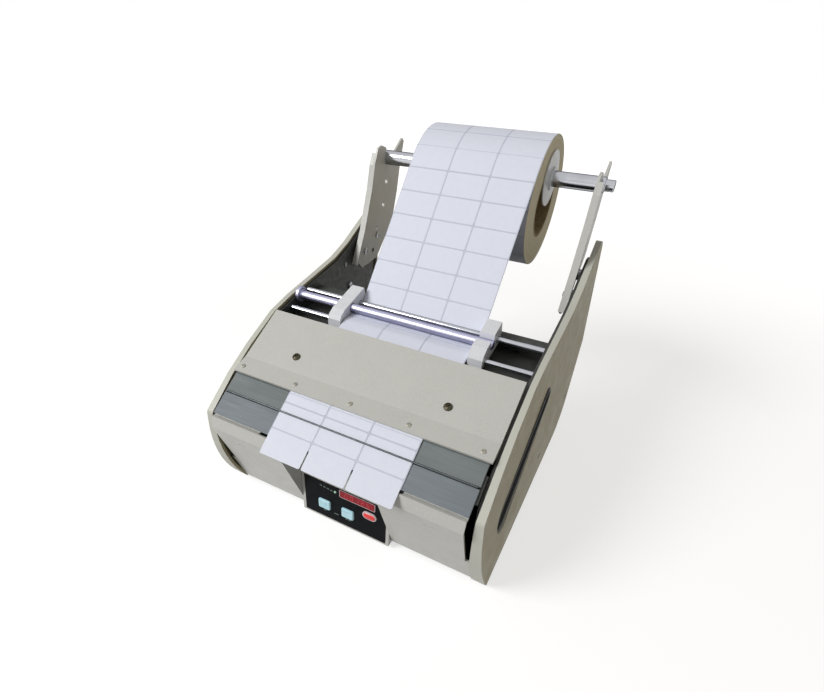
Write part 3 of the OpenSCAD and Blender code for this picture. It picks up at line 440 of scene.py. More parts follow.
MATERIALS = {
    "beige_paint": sheet_paint("beige_paint", srgb(193, 193, 189)),
    "beige_plastic": moulded_plastic_painted_shade(),
    "dark_steel": frame_steel(),
    "grey_plate": plate_grey("grey_plate", srgb(108, 115, 116), srgb(120, 127, 127)),
    # The front plate gets the same grey coating made lighter and bluer: painted light, standing in
    # for the light that its different slope catches.
    "grey_plate_front": plate_grey("grey_plate_front", srgb(112, 119, 125), srgb(124, 132, 138)),
    "chrome": bright_metal("chrome", srgb(186, 188, 194), 0.16, srgb(20, 20, 22)),
    "steel": bright_metal("steel", srgb(180, 181, 185), 0.24, srgb(90, 90, 92)),
    "bar_aluminium": bright_metal("bar_aluminium", srgb(184, 184, 208), 0.34, srgb(50, 50, 60)),
    "label_paper": paper("label_paper", srgb(221, 225, 239), srgb(214, 218, 233)),
    "roll_paper": wound_paper(),
    "liner_paper": paper("liner_paper", srgb(196, 201, 216), srgb(187, 192, 206)),
    "cardboard": cardboard(),
    "white_plastic": plain_plastic("white_plastic", srgb(222, 224, 230), 0.38),
    "black_plastic": plain_plastic("black_plastic", srgb(26, 26, 27), 0.45, height=0.02),
    "overlay_black": plain_plastic("overlay_black", srgb(6, 8, 12), 0.5, grain=0.3, height=0.006,
                                   Specular_IOR_Level=0.06),
    "screw_dark": bright_metal("screw_dark", srgb(74, 70, 58), 0.42, srgb(40, 38, 34), grain=0.5),
    "wire_dark": bright_metal("wire_dark", srgb(84, 88, 90), 0.4, srgb(40, 42, 44), grain=0.4),
    "screw_painted": sheet_paint("screw_painted", srgb(178, 175, 165)),
    "print_pale": plain_plastic("print_pale", srgb(206, 188, 192), 0.5, grain=0.3, height=0.004),
    "print_green": plain_plastic("print_green", srgb(104, 122, 112), 0.5, grain=0.3, height=0.004),
    "digit_red": plain_plastic("digit_red", srgb(192, 42, 50), 0.3, grain=0.3, height=0.002,
                               Emission_Color=srgb(200, 40, 48), Emission_Strength=0.12),
    "display_red": tinted_window(),
    "button_blue": lit_plastic("button_blue", srgb(186, 224, 233), srgb(158, 206, 224), 0.1),
    "button_red": lit_plastic("button_red", srgb(222, 26, 20), srgb(196, 14, 14), 0.15),
    "lamp_green": lit_plastic("lamp_green", srgb(178, 214, 196), srgb(150, 196, 170), 0.15),
    "rubber": plain_plastic("rubber", srgb(30, 30, 31), 0.72, grain=0.8, height=0.03),
    "board_green": board_green(),
    "bronze": bright_metal("bronze", srgb(178, 146, 92), 0.38, srgb(110, 84, 50)),
    "motor_can": bright_metal("motor_can", srgb(168, 170, 174), 0.36, srgb(80, 80, 84), grain=0.5),
}
SLOT_OF = {row["node"]: row["material_slot"] for row in frame["record"]["subparts"]}


def use_material(obj, name):
    """Gives an object that finish alone."""
    obj.data.materials.clear()
    obj.data.materials.append(MATERIALS[name])


for node_name, cad_node in NODES.items():
    use_material(cad_node, SLOT_OF[node_name])
use_material(NODES["hold_wire"], "wire_dark")

# ---------- making pieces ----------


def body_of(node):
    """Name of the body that a CAD node belongs to."""
    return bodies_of(NODES[node])[0]


def new_piece(name, mesh, body, slot, replaced=(), finish=None):
    """Puts a finished mesh in the scene, on its body, with its finish."""
    piece = in_scene(name, mesh)
    use_material(piece, finish or slot)
    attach(piece, body)
    if replaced:
        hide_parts(*replaced)
    return piece


def baked(obj):
    """Mesh of an object with its modifiers applied; the object is removed."""
    bpy.context.view_layer.update()
    graph = bpy.context.evaluated_depsgraph_get()
    mesh = bpy.data.meshes.new_from_object(obj.evaluated_get(graph), depsgraph=graph,
                                           preserve_all_data_layers=True)
    bpy.data.objects.remove(obj)
    return mesh


# Faces that turn by less than this are one flat face
FLAT = radians(0.6)


def solid_copy(node):
    """Merged copy of a CAD node's mesh, with its flat faces whole again."""
    shape = bmesh.new()
    shape.from_mesh(NODES[node].data)
    bmesh.ops.remove_doubles(shape, verts=shape.verts, dist=MERGE)
    bmesh.ops.dissolve_limit(shape, angle_limit=FLAT, verts=shape.verts, edges=shape.edges)
    return shape


# Edges that turn by more than this many degrees are rounded
EDGE_TURN = 30


def rounded(node, width, steps, only=None):
    """A CAD node's shape with its edges rounded by that width, in millimetres."""
    name = node + "_finished"
    shape = solid_copy(node)
    keep = only or (lambda edge: True)
    weight = shape.edges.layers.float.new("bevel_weight_edge")
    for edge in shape.edges:
        sharp = len(edge.link_faces) == 2 and edge.calc_face_angle(0) > radians(EDGE_TURN)
        edge[weight] = 1.0 if sharp and keep(edge) else 0.0
    work = in_scene(name + "_work", smooth(to_mesh(name, shape), EDGE_TURN))
    bevel = work.modifiers.new("round", "BEVEL")
    bevel.limit_method = "WEIGHT"
    bevel.width = width * MM
    bevel.segments = steps
    bevel.use_clamp_overlap = True
    bevel.harden_normals = False
    level = work.modifiers.new("level", "WEIGHTED_NORMAL")
    level.keep_sharp = True
    level.weight = 80
    new_piece(name, baked(work), body_of(node), SLOT_OF[node], [node])


def lathe(name, section, centre):
    """Solid of revolution about X: the section is a closed list of (x, radius), in metres."""
    segments = 128
    shape = bmesh.new()
    rings = []
    for x, radius in section:
        ring = []
        for k in range(segments):
            angle = 2 * pi * k / segments
            ring.append(shape.verts.new((x, centre[0] + radius * cos(angle),
                                         centre[1] + radius * sin(angle))))
        rings.append(ring)
    for ring, following in zip(rings, rings[1:] + rings[:1]):
        for k in range(segments):
            after = (k + 1) % segments
            shape.faces.new((ring[k], following[k], following[after], ring[after]))
    bmesh.ops.recalc_face_normals(shape, faces=shape.faces)
    return smooth(to_mesh(name, shape), 35)


def join_shapes(name, meshes):
    """One mesh from several."""
    shape = bmesh.new()
    for mesh in meshes:
        shape.from_mesh(mesh)
        bpy.data.meshes.remove(mesh)
    return to_mesh(name, shape)


def one_material(mesh):
    """The mesh with all its faces in its first material."""
    for polygon in mesh.polygons:
        polygon.material_index = 0
    return mesh


# ---------- geometry nodes ----------


class Tree:
    """A Geometry Nodes tree with named inputs."""

    def __init__(self, name, inputs):
        self.tree = bpy.data.node_groups.new(name, "GeometryNodeTree")
        sides = self.tree.interface
        sides.new_socket("Geometry", in_out="OUTPUT", socket_type="NodeSocketGeometry")
        for label, kind in [("Geometry", "Geometry")] + inputs:
            sides.new_socket(label, in_out="INPUT", socket_type="NodeSocket" + kind)
        self.given = self.tree.nodes.new("NodeGroupInput").outputs

    def add(self, kind, settings=None, *first, **inputs):
        return add_node(self.tree, kind, settings, *first, **inputs)

    def math(self, operation, *values):
        return self.add("ShaderNodeMath", {"operation": operation}, *values).outputs[0]

    def vector(self, operation, *values, **inputs):
        made = self.add("ShaderNodeVectorMath", {"operation": operation}, *values, **inputs)
        return made.outputs[1 if operation == "LENGTH" else 0]

    def end(self, geometry, material):
        """Last nodes of the tree: the material and the output."""
        painted = self.add("GeometryNodeSetMaterial", None, Geometry=geometry, Material=material)
        out = self.tree.nodes.new("NodeGroupOutput")
        self.tree.links.new(painted.outputs[0], out.inputs[0])

    def run(self, name, points, values, edges=(), attributes=None):
        """Evaluates the tree on the points and gives back a plain mesh."""
        mesh = bpy.data.meshes.new(name + "_points")
        mesh.from_pydata(points, edges, [])
        for label, vectors in (attributes or {}).items():
            layer = mesh.attributes.new(label, "FLOAT_VECTOR", "POINT")
            layer.data.foreach_set("vector", [c for vector in vectors for c in vector])
        work = in_scene(name + "_work", mesh)
        modifier = work.modifiers.new("build", "NODES")
        modifier.node_group = self.tree
        for socket in self.tree.interface.items_tree:
            if socket.in_out == "INPUT" and socket.name in values:
                modifier[socket.identifier] = values[socket.name]
        return baked(work)


# ---------- covers, sheets and frames ----------

SHEET_EDGE = 0.3
FRAME_EDGE = 0.2
for node_name, width, steps in (
        ("left_front_sheet", SHEET_EDGE, 2), ("right_front_sheet", SHEET_EDGE, 2),
        ("top_cover", SHEET_EDGE, 2), ("stage_plate", 0.25, 2), ("peel_plate", 0.15, 2),
        ("left_arm", 0.35, 2), ("right_arm", 0.35, 2),
        ("left_guide", 1.0, 3), ("right_guide", 1.0, 3),
        ("left_grip_cup", 0.4, 2), ("right_grip_cup", 0.4, 2),
        ("hold_down_bar", 0.6, 3), ("roll_shaft", 0.6, 2),
        ("left_frame", FRAME_EDGE, 2), ("right_frame", FRAME_EDGE, 2),
        ("rear_wall", FRAME_EDGE, 2), ("web_tray", FRAME_EDGE, 2),
        ("power_inlet", 0.4, 2), ("switch_body", 0.3, 2), ("power_switch", 0.4, 2)):
    rounded(node_name, width, steps)

# The side covers are rounded on their outer edges only, past this depth from their inner face
COVER_X = min(abs(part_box("right_side_cover")[0].x), abs(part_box("right_side_cover")[1].x))
RIM_DEPTH = 2.6 * MM
RIM_ROUND = 1.3


def on_rim(edge):
    return min(abs(v.co.x) for v in edge.verts) > COVER_X + RIM_DEPTH


for hand in ("left", "right"):
    rounded(hand + "_side_cover", RIM_ROUND, 4, on_rim)

# ---------- control panel ----------


def round_outline(centre, width, height, radius, steps=8):
    """Rounded rectangle in the front view, counter-clockwise, as (x, z) points."""
    points = []
    for k, (sx, sz) in enumerate(((1, 1), (-1, 1), (-1, -1), (1, -1))):
        cx = centre[0] + sx * (width / 2 - radius)
        cz = centre[1] + sz * (height / 2 - radius)
        for j in range(steps + 1):
            a = radians(90 * k + 90 * j / steps)
            points.append((cx + radius * cos(a), cz + radius * sin(a)))
    return points


def loft(name, levels, closed_ring=False):
    """Solid through levels, back to front; each is a front-view outline and its y."""
    shape = bmesh.new()
    loops = [[shape.verts.new((x, y, z)) for x, z in outline] for outline, y in levels]
    following = loops[1:] + loops[:1] if closed_ring else loops[1:]
    pairs = list(zip(loops, following))
    for level, (a, b) in enumerate(pairs):
        for k in range(len(a)):
            after = (k + 1) % len(a)
            face = shape.faces.new((a[k], a[after], b[after], b[k]))
            face.material_index = level
    if not closed_ring:
        shape.faces.new(loops[0]).material_index = 0
        shape.faces.new(list(reversed(loops[-1]))).material_index = len(pairs) - 1
    bmesh.ops.recalc_face_normals(shape, faces=shape.faces)
    return smooth(to_mesh(name, shape), 40)


def button_cap(node, corner, steps, pale_below=0):
    """Cap of a push button: each step is (inset, depth below the front), in millimetres.

    Steps before pale_below are the cap's pale rim.
    """
    lo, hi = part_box(node)
    centre = ((lo.x + hi.x) / 2, (lo.z + hi.z) / 2)
    width, height = hi.x - lo.x, hi.z - lo.z
    levels = []
    for inset, depth in [(0, (hi.y - lo.y) / MM)] + steps:
        size = (width - 2 * inset * MM, height - 2 * inset * MM)
        outline = round_outline(centre, *size, max(corner - inset, 0.3) * MM)
        levels.append((outline, lo.y + depth * MM))
    mesh = loft(node + "_cap", levels)
    level_of = [polygon.material_index for polygon in mesh.polygons]
    piece = new_piece(node + "_cap", mesh, body_of(node), SLOT_OF[node], [node])
    piece.data.materials.append(MATERIALS["print_pale"])
    for polygon, level in zip(mesh.polygons, level_of):
        polygon.material_index = 1 if level < pale_below else 0


SQUARE_CORNER = 1.3
SQUARE_STEPS = [(0, 0.9), (0.12, 0.45), (0.4, 0.16), (0.8, 0.02), (1.3, 0.0), (2.2, 0.12), (3.2, 0.2)]
OVAL_R = (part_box("red_button")[1].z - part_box("red_button")[0].z) / 2 / MM
OVAL_STEPS = [(0, 0.9), (0.12, 0.62), (0.35, 0.5), (1.05, 0.5), (1.2, 0.3), (1.45, 0.1), (2.0, 0.0)]
OVAL_PALE_STEPS = 4
button_cap("left_button", SQUARE_CORNER, SQUARE_STEPS)
button_cap("right_button", SQUARE_CORNER, SQUARE_STEPS)
button_cap("red_button", OVAL_R - 0.01, OVAL_STEPS, OVAL_PALE_STEPS)


def flat_ring(centre, width, height, radius, line, front):
    """Thin printed line round a shape on the overlay."""
    outer = round_outline(centre, width, height, radius)
    inner = round_outline(centre, width - 2 * line, height - 2 * line, max(radius - line, 0.1 * MM))
    back = front + PRINT_T
    return loft("line", [(outer, back), (outer, front), (inner, front), (inner, back)], True)


def flat_bar(centre, width, height, front):
    """Thin printed bar with rounded corners."""
    outline = round_outline(centre, width, height, min(width, height) * 0.45, 3)
    return loft("bar", [(outline, front + PRINT_T), (outline, front)])


# Segments that are lit for each digit, as top, upper right, lower right, bottom, lower left,
# upper left and middle
LIT = {0: "1111110", 1: "0110000", 2: "1101101", 5: "1011011"}
# Print: its thickness, how proud it stands, and the heights and widths of its marks
PRINT_T = 0.05 * MM
PRINT_PROUD = 0.03 * MM
DIGIT_PROUD = 0.04 * MM
LINE_ROOM = 1.3 * MM
LINE_CORNER = 0.9 * MM
LINE_W = 0.45 * MM
DASH_H = 0.8 * MM
COUNT = (0, 0, 1, 2, 5)
DIGIT_PITCH = 4.6 * MM
DIGIT_W = 2.6 * MM
DIGIT_H = 4.2 * MM
DIGIT_LINE = 0.5 * MM


def digit_shapes(value, centre, front):
    """Seven-segment digit made of flat bars."""
    across, tall = DIGIT_W - DIGIT_LINE, DIGIT_H / 2 - DIGIT_LINE
    side_x = DIGIT_W / 2 - DIGIT_LINE / 2
    top_z = DIGIT_H / 2 - DIGIT_LINE / 2
    side_z = DIGIT_H / 4
    places = ((0, top_z, 1), (side_x, side_z, 0), (side_x, -side_z, 0), (0, -top_z, 1),
              (-side_x, -side_z, 0), (-side_x, side_z, 0), (0, 0, 1))
    bars = []
    for lit, (x, z, level) in zip(LIT[value], places):
        if lit == "1":
            size = (across, DIGIT_LINE) if level else (DIGIT_LINE, tall)
            bars.append(flat_bar((centre[0] + x, centre[1] + z), *size, front))
    return bars


def panel_print():
    """Pale lines round the display, plain dashes, and a count on the display."""
    overlay_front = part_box("panel_overlay")[0].y - PRINT_PROUD
    lo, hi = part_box("display_window")
    centre = ((lo.x + hi.x) / 2, (lo.z + hi.z) / 2)
    width, height = hi.x - lo.x, hi.z - lo.z
    outline = flat_ring(centre, width + LINE_ROOM, height + LINE_ROOM, LINE_CORNER, LINE_W,
                        overlay_front)
    new_piece("display_outline", one_material(outline), "root", "overlay_black",
              finish="print_pale")
    bars = []
    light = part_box("status_light")
    light_z = (light[0].z + light[1].z) / 2
    for k in range(4):
        place = (light[0].x - (2.2 + 3.1 * k) * MM, light_z + 0.35 * k * MM)
        bars.append(flat_bar(place, 2.2 * MM, DASH_H, overlay_front))
    for node, count in (("left_button", 1), ("right_button", 2)):
        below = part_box(node)
        middle_x = (below[0].x + below[1].x) / 2
        for k in range(count):
            place = (middle_x + (k - (count - 1) / 2) * 3 * MM, below[0].z - 2.2 * MM)
            bars.append(flat_bar(place, 2 * MM, DASH_H, overlay_front))
    between = (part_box("left_button")[1].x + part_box("right_button")[0].x) / 2
    place = (between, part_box("left_button")[0].z - 1.2 * MM)
    bars.append(flat_bar(place, 4 * MM, DASH_H, overlay_front))
    new_piece("panel_dashes", one_material(join_shapes("panel_dashes", bars)), "root",
              "overlay_black", finish="print_green")
    digits = []
    for k, value in enumerate(COUNT):
        place = (centre[0] + (k - len(COUNT) // 2) * DIGIT_PITCH, centre[1])
        digits += digit_shapes(value, place, lo.y - DIGIT_PROUD)
    new_piece("display_digits", one_material(join_shapes("display_digits", digits)), "root",
              "display_red", finish="digit_red")


panel_print()

# ---------- screws ----------

# A screw head's height, its rim and its recess, as shares of the head's radius
HEAD_HIGH = 0.57
RIM = 0.24
RECESS = (1.15, 0.26)
HEAD_SIDES = 40
HEAD_RINGS = 5
CROWN = 2.4


def screw_tree():
    """Pan head screws with a cross recess on points, each along its own axis, turned at random."""
    t = Tree("pan_head_screws", [("Radius", "Float"), ("Rim", "Float"), ("Dome", "Float"),
                                 ("Recess length", "Float"), ("Recess width", "Float"),
                                 ("Seed", "Int"), ("Material", "Material")])
    given = t.given
    disc = t.add("GeometryNodeMeshCylinder", {"fill_type": "NGON"}, Vertices=HEAD_SIDES,
                 Fill_Segments=HEAD_RINGS, Radius=given["Radius"], Depth=given["Rim"]).outputs["Mesh"]
    place = t.add("GeometryNodeInputPosition").outputs[0]
    parts = t.add("ShaderNodeSeparateXYZ", None, place)
    flat = t.add("ShaderNodeCombineXYZ", X=parts.outputs["X"], Y=parts.outputs["Y"]).outputs[0]
    share = t.math("DIVIDE", t.vector("LENGTH", flat), given["Radius"])
    crown = t.math("SUBTRACT", 1.0, t.math("POWER", share, CROWN))
    top = t.math("GREATER_THAN", parts.outputs["Z"], 0.0)
    rise = t.math("MULTIPLY", t.math("MULTIPLY", crown, given["Dome"]), top)
    up = t.add("ShaderNodeCombineXYZ", Z=rise).outputs[0]
    head = t.add("GeometryNodeSetPosition", Geometry=disc, Offset=up).outputs[0]
    half = t.math("MULTIPLY", given["Rim"], 0.5)
    base = t.add("ShaderNodeCombineXYZ", Z=half).outputs[0]
    head = t.add("GeometryNodeTransform", Geometry=head, Translation=base).outputs[0]
    tall = t.math("ADD", given["Dome"], given["Rim"])
    deep = t.add("ShaderNodeCombineXYZ", X=given["Recess length"], Y=given["Recess width"],
                 Z=tall).outputs[0]
    wide = t.add("ShaderNodeCombineXYZ", X=given["Recess width"], Y=given["Recess length"],
                 Z=tall).outputs[0]
    lift = t.add("ShaderNodeCombineXYZ", Z=tall).outputs[0]
    arms = []
    for size in (deep, wide):
        arm = t.add("GeometryNodeMeshCube", None, Size=size).outputs["Mesh"]
        arms.append(t.add("GeometryNodeTransform", Geometry=arm, Translation=lift).outputs[0])
    cut = t.add("GeometryNodeMeshBoolean", {"operation": "DIFFERENCE", "solver": "EXACT"})
    t.tree.links.new(head, cut.inputs["Mesh 1"])
    for arm in arms:
        t.tree.links.new(arm, cut.inputs["Mesh 2"])
    axis = t.add("GeometryNodeInputNamedAttribute", {"data_type": "FLOAT_VECTOR"},
                 Name="axis").outputs["Attribute"]
    aim = t.add("FunctionNodeAlignRotationToVector", {"axis": "Z"}, Vector=axis).outputs[0]
    chance = t.add("FunctionNodeRandomValue", {"data_type": "FLOAT"}, Seed=given["Seed"])
    spin = t.add("ShaderNodeCombineXYZ", Z=t.math("MULTIPLY", chance.outputs[1], pi)).outputs[0]
    turn = t.add("FunctionNodeEulerToRotation", Euler=spin).outputs[0]
    turned = t.add("FunctionNodeRotateRotation", {"rotation_space": "LOCAL"}, Rotation=aim,
                   Rotate_By=turn).outputs[0]
    placed = t.add("GeometryNodeInstanceOnPoints", Points=given["Geometry"], Instance=cut.outputs[0],
                   Rotation=turned).outputs[0]
    t.end(t.add("GeometryNodeRealizeInstances", Geometry=placed).outputs[0], given["Material"])
    return t


def islands(node):
    """Points of the separate solids of a CAD node.

    Their order isn't fixed: it, and so each screw's random turn, can change between runs.
    """
    shape = bmesh.new()
    shape.from_mesh(NODES[node].data)
    bmesh.ops.remove_doubles(shape, verts=shape.verts, dist=MERGE)
    left = set(shape.verts)
    found = []
    while left:
        front = [left.pop()]
        group = []
        while front:
            vertex = front.pop()
            group.append(vertex.co.copy())
            for edge in vertex.link_edges:
                other = edge.other_vert(vertex)
                if other in left:
                    left.remove(other)
                    front.append(other)
        found.append(group)
    shape.free()
    return found


def head_of(points, axis):
    """Radius of a screw's head and the point where the head sits, from its solid's points."""
    top = max(p.dot(axis) for p in points)
    middle = sum(points, Vector()) / len(points)
    spot = middle - middle.dot(axis) * axis
    radius = max((p - p.dot(axis) * axis - spot).length for p in points)
    return radius, spot + (top - HEAD_HIGH * radius) * axis


def screws():
    """All visible screw heads, in place of the plain ones."""
    tree = screw_tree()
    lip_axis = Vector((0, -sin(LIP_SLOPE), cos(LIP_SLOPE)))
    top_axis = Vector((0, -sin(TOP_SLOPE), cos(TOP_SLOPE)))
    # The last two face away from the machine's middle plane or towards it
    kinds = (("lip_screws", lip_axis, "screw_painted"), ("cover_screws", top_axis, "screw_dark"),
             ("side_screws", 1, "steel"), ("frame_screws", -1, "steel"))
    for seed, (node, axis, finish) in enumerate(kinds):
        heads = {}
        for points in islands(node):
            facing = axis
            if not isinstance(axis, Vector):
                away = 1 if sum(p.x for p in points) > 0 else -1
                facing = Vector((away * axis, 0, 0))
            radius, seat = head_of(points, facing)
            heads.setdefault(round(radius, 4), []).append((seat, facing))
        meshes = []
        for radius, seats in heads.items():
            values = {"Radius": radius, "Rim": RIM * radius, "Dome": (HEAD_HIGH - RIM) * radius,
                      "Recess length": RECESS[0] * radius, "Recess width": RECESS[1] * radius,
                      "Seed": seed, "Material": MATERIALS[finish]}
            axes = {"axis": [a for _, a in seats]}
            meshes.append(tree.run(node, [p for p, _ in seats], values, attributes=axes))
        joined = smooth(join_shapes(node + "_heads", meshes), 38)
        new_piece(node + "_heads", one_material(joined), "root", "steel", [node], finish)


screws()

# ---------- roll ----------


def roll_body():
    """Paper roll with softly rounded end edges; its outside is the last wrap of backing."""
    half = (WEB_HI - WEB_LO) / 2
    outer = ROLL_R - ROLL_SKIN
    inner = (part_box("roll_core")[1].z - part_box("roll_core")[0].z) / 2 + CORE_ROOM
    soft = ROLL_SOFT
    section = [(-half, inner), (-half, outer - soft), (-half + soft, outer),
               (half - soft, outer), (half, outer - soft), (half, inner)]
    section = [(x + WEB_X, r) for x, r in section]
    mesh = lathe("label_roll_finished", section, ROLL)
    piece = new_piece("label_roll_finished", mesh, "roll", "roll_paper", ["label_roll"])
    piece.data.materials.append(MATERIALS["liner_paper"])
    for polygon in piece.data.polygons:
        upright = abs(polygon.normal.x) < 0.5
        far = hypot(polygon.center.y - ROLL.x, polygon.center.z - ROLL.y)
        polygon.material_index = 1 if upright and far > inner + soft else 0


roll_body()

# ---------- label web ----------


def arc(centre, radius, start, end, steps):
    """Points of an arc in the side view; angles in degrees."""
    angles = [radians(start + (end - start) * k / steps) for k in range(steps + 1)]
    return [centre + radius * Vector((cos(a), sin(a))) for a in angles]


def feed_angle():
    """Slope of the straight run from the roll to the rear rod."""
    to_roll = ROLL - REAR_ROD
    return atan2(to_roll.y, to_roll.x) + asin((ROLL_R + ROD_R + 2 * WEB_OVER) / to_roll.length)


FEED_A = feed_angle()
FEED_N = Vector((-sin(FEED_A), cos(FEED_A)))
FEED_DEG = FEED_A * 180 / pi
LEAVE = ROLL + (ROLL_R + WEB_OVER) * FEED_N
MEET = REAR_ROD - (ROD_R + WEB_OVER) * FEED_N

# Whole rows lie above the gap on the feed run; the last of them still clings to the roll
ROWS_ABOVE = ceil(((LEAVE - MEET).length - FEED_GAP) / ROW)
CLING = ROWS_ABOVE * ROW - ((LEAVE - MEET).length - FEED_GAP)
CLING_R = ROLL_R + WEB_OVER - CLING_DEPTH
CLING_TURN = CLING / CLING_R * 180 / pi


def over_front_rod():
    return arc(FRONT_ROD, ROD_R + WEB_OVER, 87, 101, 6)


def feed_path():
    """Middle line of the web from the roll, under the rear rod and over the front rod."""
    ease = arc(ROLL, CLING_R, FEED_DEG + 90 - CLING_TURN, FEED_DEG + 90 - CLING_TURN / 8,
               EASE_STEPS - 1)
    under = arc(REAR_ROD, ROD_R + WEB_OVER, FEED_DEG - 90, -93, 8)
    return ease + [LEAVE] + under + over_front_rod()


# The web comes in under the lip here
STAGE_IN = LIP + Vector((LIP_D - 0.1 * MM, LIP_D * tan(LIP_SLOPE - radians(5)) + WEB_OVER + 0.1 * MM))


def stage_path():
    """Middle line of the web from the front rod over the label plates to the peel edge."""
    on_lip = LIP + WEB_OVER * UP + Vector((-0.6, 0.2)) * MM
    return [over_front_rod()[-1], STAGE_IN, on_lip, PEEL + WEB_OVER * UP]


def return_path():
    """Middle line of the backing from the peel edge round the drive roller and out below."""
    thick = WEB_T * 0.6
    clear = thick / 2 + 0.3 * MM
    edge = PEEL + Vector((-0.3 * MM, -0.5 * MM - clear))
    to_drive = DRIVE - edge
    start = atan2(to_drive.y, to_drive.x) - asin((DRIVE_R + clear) / to_drive.length)
    wrap = arc(DRIVE, DRIVE_R + 0.4 * MM, start * 180 / pi - 90, -90, 16)
    low = wrap[-1].y
    slot_y = side(46.5, 0).x
    exit_line = [Vector((DRIVE.x + 8 * MM, low)), Vector((side(38, 0).x, low - 3 * MM)),
                 Vector((side(45, 0).x, low - 12 * MM)), Vector((slot_y, low - 24 * MM)),
                 Vector((slot_y, side(0, 0).y))]
    return [edge] + wrap + exit_line


def normals(path):
    """Unit normal on the label side at each point of a path."""
    found = []
    for k in range(len(path)):
        step = path[min(k + 1, len(path) - 1)] - path[max(k - 1, 0)]
        step.normalize()
        found.append(Vector((step.y, -step.x)))
    return found


def strip_mesh(name, path, x_lo, x_hi, low, high):
    """Thin strip along a path of the side view, from low to high over its middle line."""
    shape = bmesh.new()
    loops = []
    for point, normal in zip(path, normals(path)):
        bottom, top = point + low * normal, point + high * normal
        loops.append([shape.verts.new((x, p.x, p.y)) for x, p in
                      ((x_lo, bottom), (x_hi, bottom), (x_hi, top), (x_lo, top))])
    for a, b in zip(loops, loops[1:]):
        for k in range(4):
            shape.faces.new((a[k], a[(k + 1) % 4], b[(k + 1) % 4], b[k]))
    shape.faces.new(loops[0])
    shape.faces.new(list(reversed(loops[-1])))
    bmesh.ops.recalc_face_normals(shape, faces=shape.faces)
    return smooth(to_mesh(name, shape), 40)


def backing():
    """Backing paper of the web: it goes on round the peel edge and out through the rollers."""
    path = feed_path() + stage_path()[1:]
    mesh = strip_mesh("web_backing", path, WEB_LO, WEB_HI, -WEB_T / 2, -WEB_T / 2 + LINER_T)
    new_piece("web_backing", mesh, "root", "liner_paper", ["feed_web", "stage_web"])
    back = return_path()
    mesh = strip_mesh("backing_return", back, WEB_LO + MM, WEB_HI - MM, -0.09 * MM, 0.09 * MM)
    new_piece("backing_return", mesh, "root", "liner_paper", ["liner_return"])


backing()


def label_tile():
    """One label lying flat: X across, Y along the web, rounded corners, sliced so that it bends."""
    half_x = (COLUMN_W - LABEL_GAP) / 2
    half_y = (ROW - LABEL_GAP) / 2
    r = LABEL_CORNER
    shape = bmesh.new()
    rim = []
    for cx, cy, start in ((half_x - r, half_y - r, 0), (r - half_x, half_y - r, 90),
                          (r - half_x, r - half_y, 180), (half_x - r, r - half_y, 270)):
        for k in range(4):
            a = radians(start + 30 * k)
            rim.append(shape.verts.new((cx + r * cos(a), cy + r * sin(a), 0)))
    shape.faces.new(rim)
    for k in range(1, LABEL_SLICES):
        y = -half_y + 2 * half_y * k / LABEL_SLICES
        everything = shape.verts[:] + shape.edges[:] + shape.faces[:]
        bmesh.ops.bisect_plane(shape, geom=everything, plane_co=(0, y, 0), plane_no=(0, 1, 0))
    lifted = bmesh.ops.extrude_face_region(shape, geom=shape.faces[:])
    for part in lifted["geom"]:
        if isinstance(part, bmesh.types.BMVert):
            part.co.z = 1.0
    bmesh.ops.recalc_face_normals(shape, faces=shape.faces)
    return in_scene("label_tile", to_mesh("label_tile", shape))


def label_tree():
    """Lays rows of labels along the object's own line: first row, row pitch, columns and lift."""
    t = Tree("labels_on_path", [("Label", "Object"), ("Rows", "Int"), ("First row", "Float"),
                                ("Row pitch", "Float"), ("Column pitch", "Float"),
                                ("Middle", "Float"), ("Thickness", "Float"),
                                ("Material", "Material")])
    given = t.given
    curve = t.add("GeometryNodeMeshToCurve", Mesh=given["Geometry"]).outputs["Curve"]
    row_step = t.add("ShaderNodeCombineXYZ", Y=given["Row pitch"]).outputs[0]
    row_start = t.add("ShaderNodeCombineXYZ", Y=given["First row"]).outputs[0]
    rows = t.add("GeometryNodeMeshLine", Count=given["Rows"], Start_Location=row_start,
                 Offset=row_step).outputs["Mesh"]
    column_step = t.add("ShaderNodeCombineXYZ", X=given["Column pitch"]).outputs[0]
    back_one = t.vector("MULTIPLY", column_step, (-1.0, 0.0, 0.0))
    columns = t.add("GeometryNodeMeshLine", Count=3, Start_Location=back_one,
                    Offset=column_step).outputs["Mesh"]
    label = t.add("GeometryNodeObjectInfo", {"transform_space": "ORIGINAL"}, Object=given["Label"])
    one_row = t.add("GeometryNodeInstanceOnPoints", Points=columns,
                    Instance=label.outputs["Geometry"]).outputs[0]
    all_rows = t.add("GeometryNodeInstanceOnPoints", Points=rows, Instance=one_row).outputs[0]
    flat = t.add("GeometryNodeRealizeInstances", Geometry=all_rows).outputs[0]
    spot = t.add("ShaderNodeSeparateXYZ", None, t.add("GeometryNodeInputPosition").outputs[0])
    sample = t.add("GeometryNodeSampleCurve", {"mode": "LENGTH"}, Curves=curve,
                   Length=spot.outputs["Y"])
    normal = t.vector("CROSS_PRODUCT", sample.outputs["Tangent"], (1.0, 0.0, 0.0))
    high = t.math("MULTIPLY", spot.outputs["Z"], given["Thickness"])
    raised = t.vector("SCALE", normal, Scale=high)
    sideways = t.math("ADD", spot.outputs["X"], given["Middle"])
    across = t.add("ShaderNodeCombineXYZ", X=sideways).outputs[0]
    on_path = t.vector("ADD", sample.outputs["Position"], raised)
    where = t.vector("ADD", on_path, across)
    t.end(t.add("GeometryNodeSetPosition", Geometry=flat, Position=where).outputs[0],
          given["Material"])
    return t


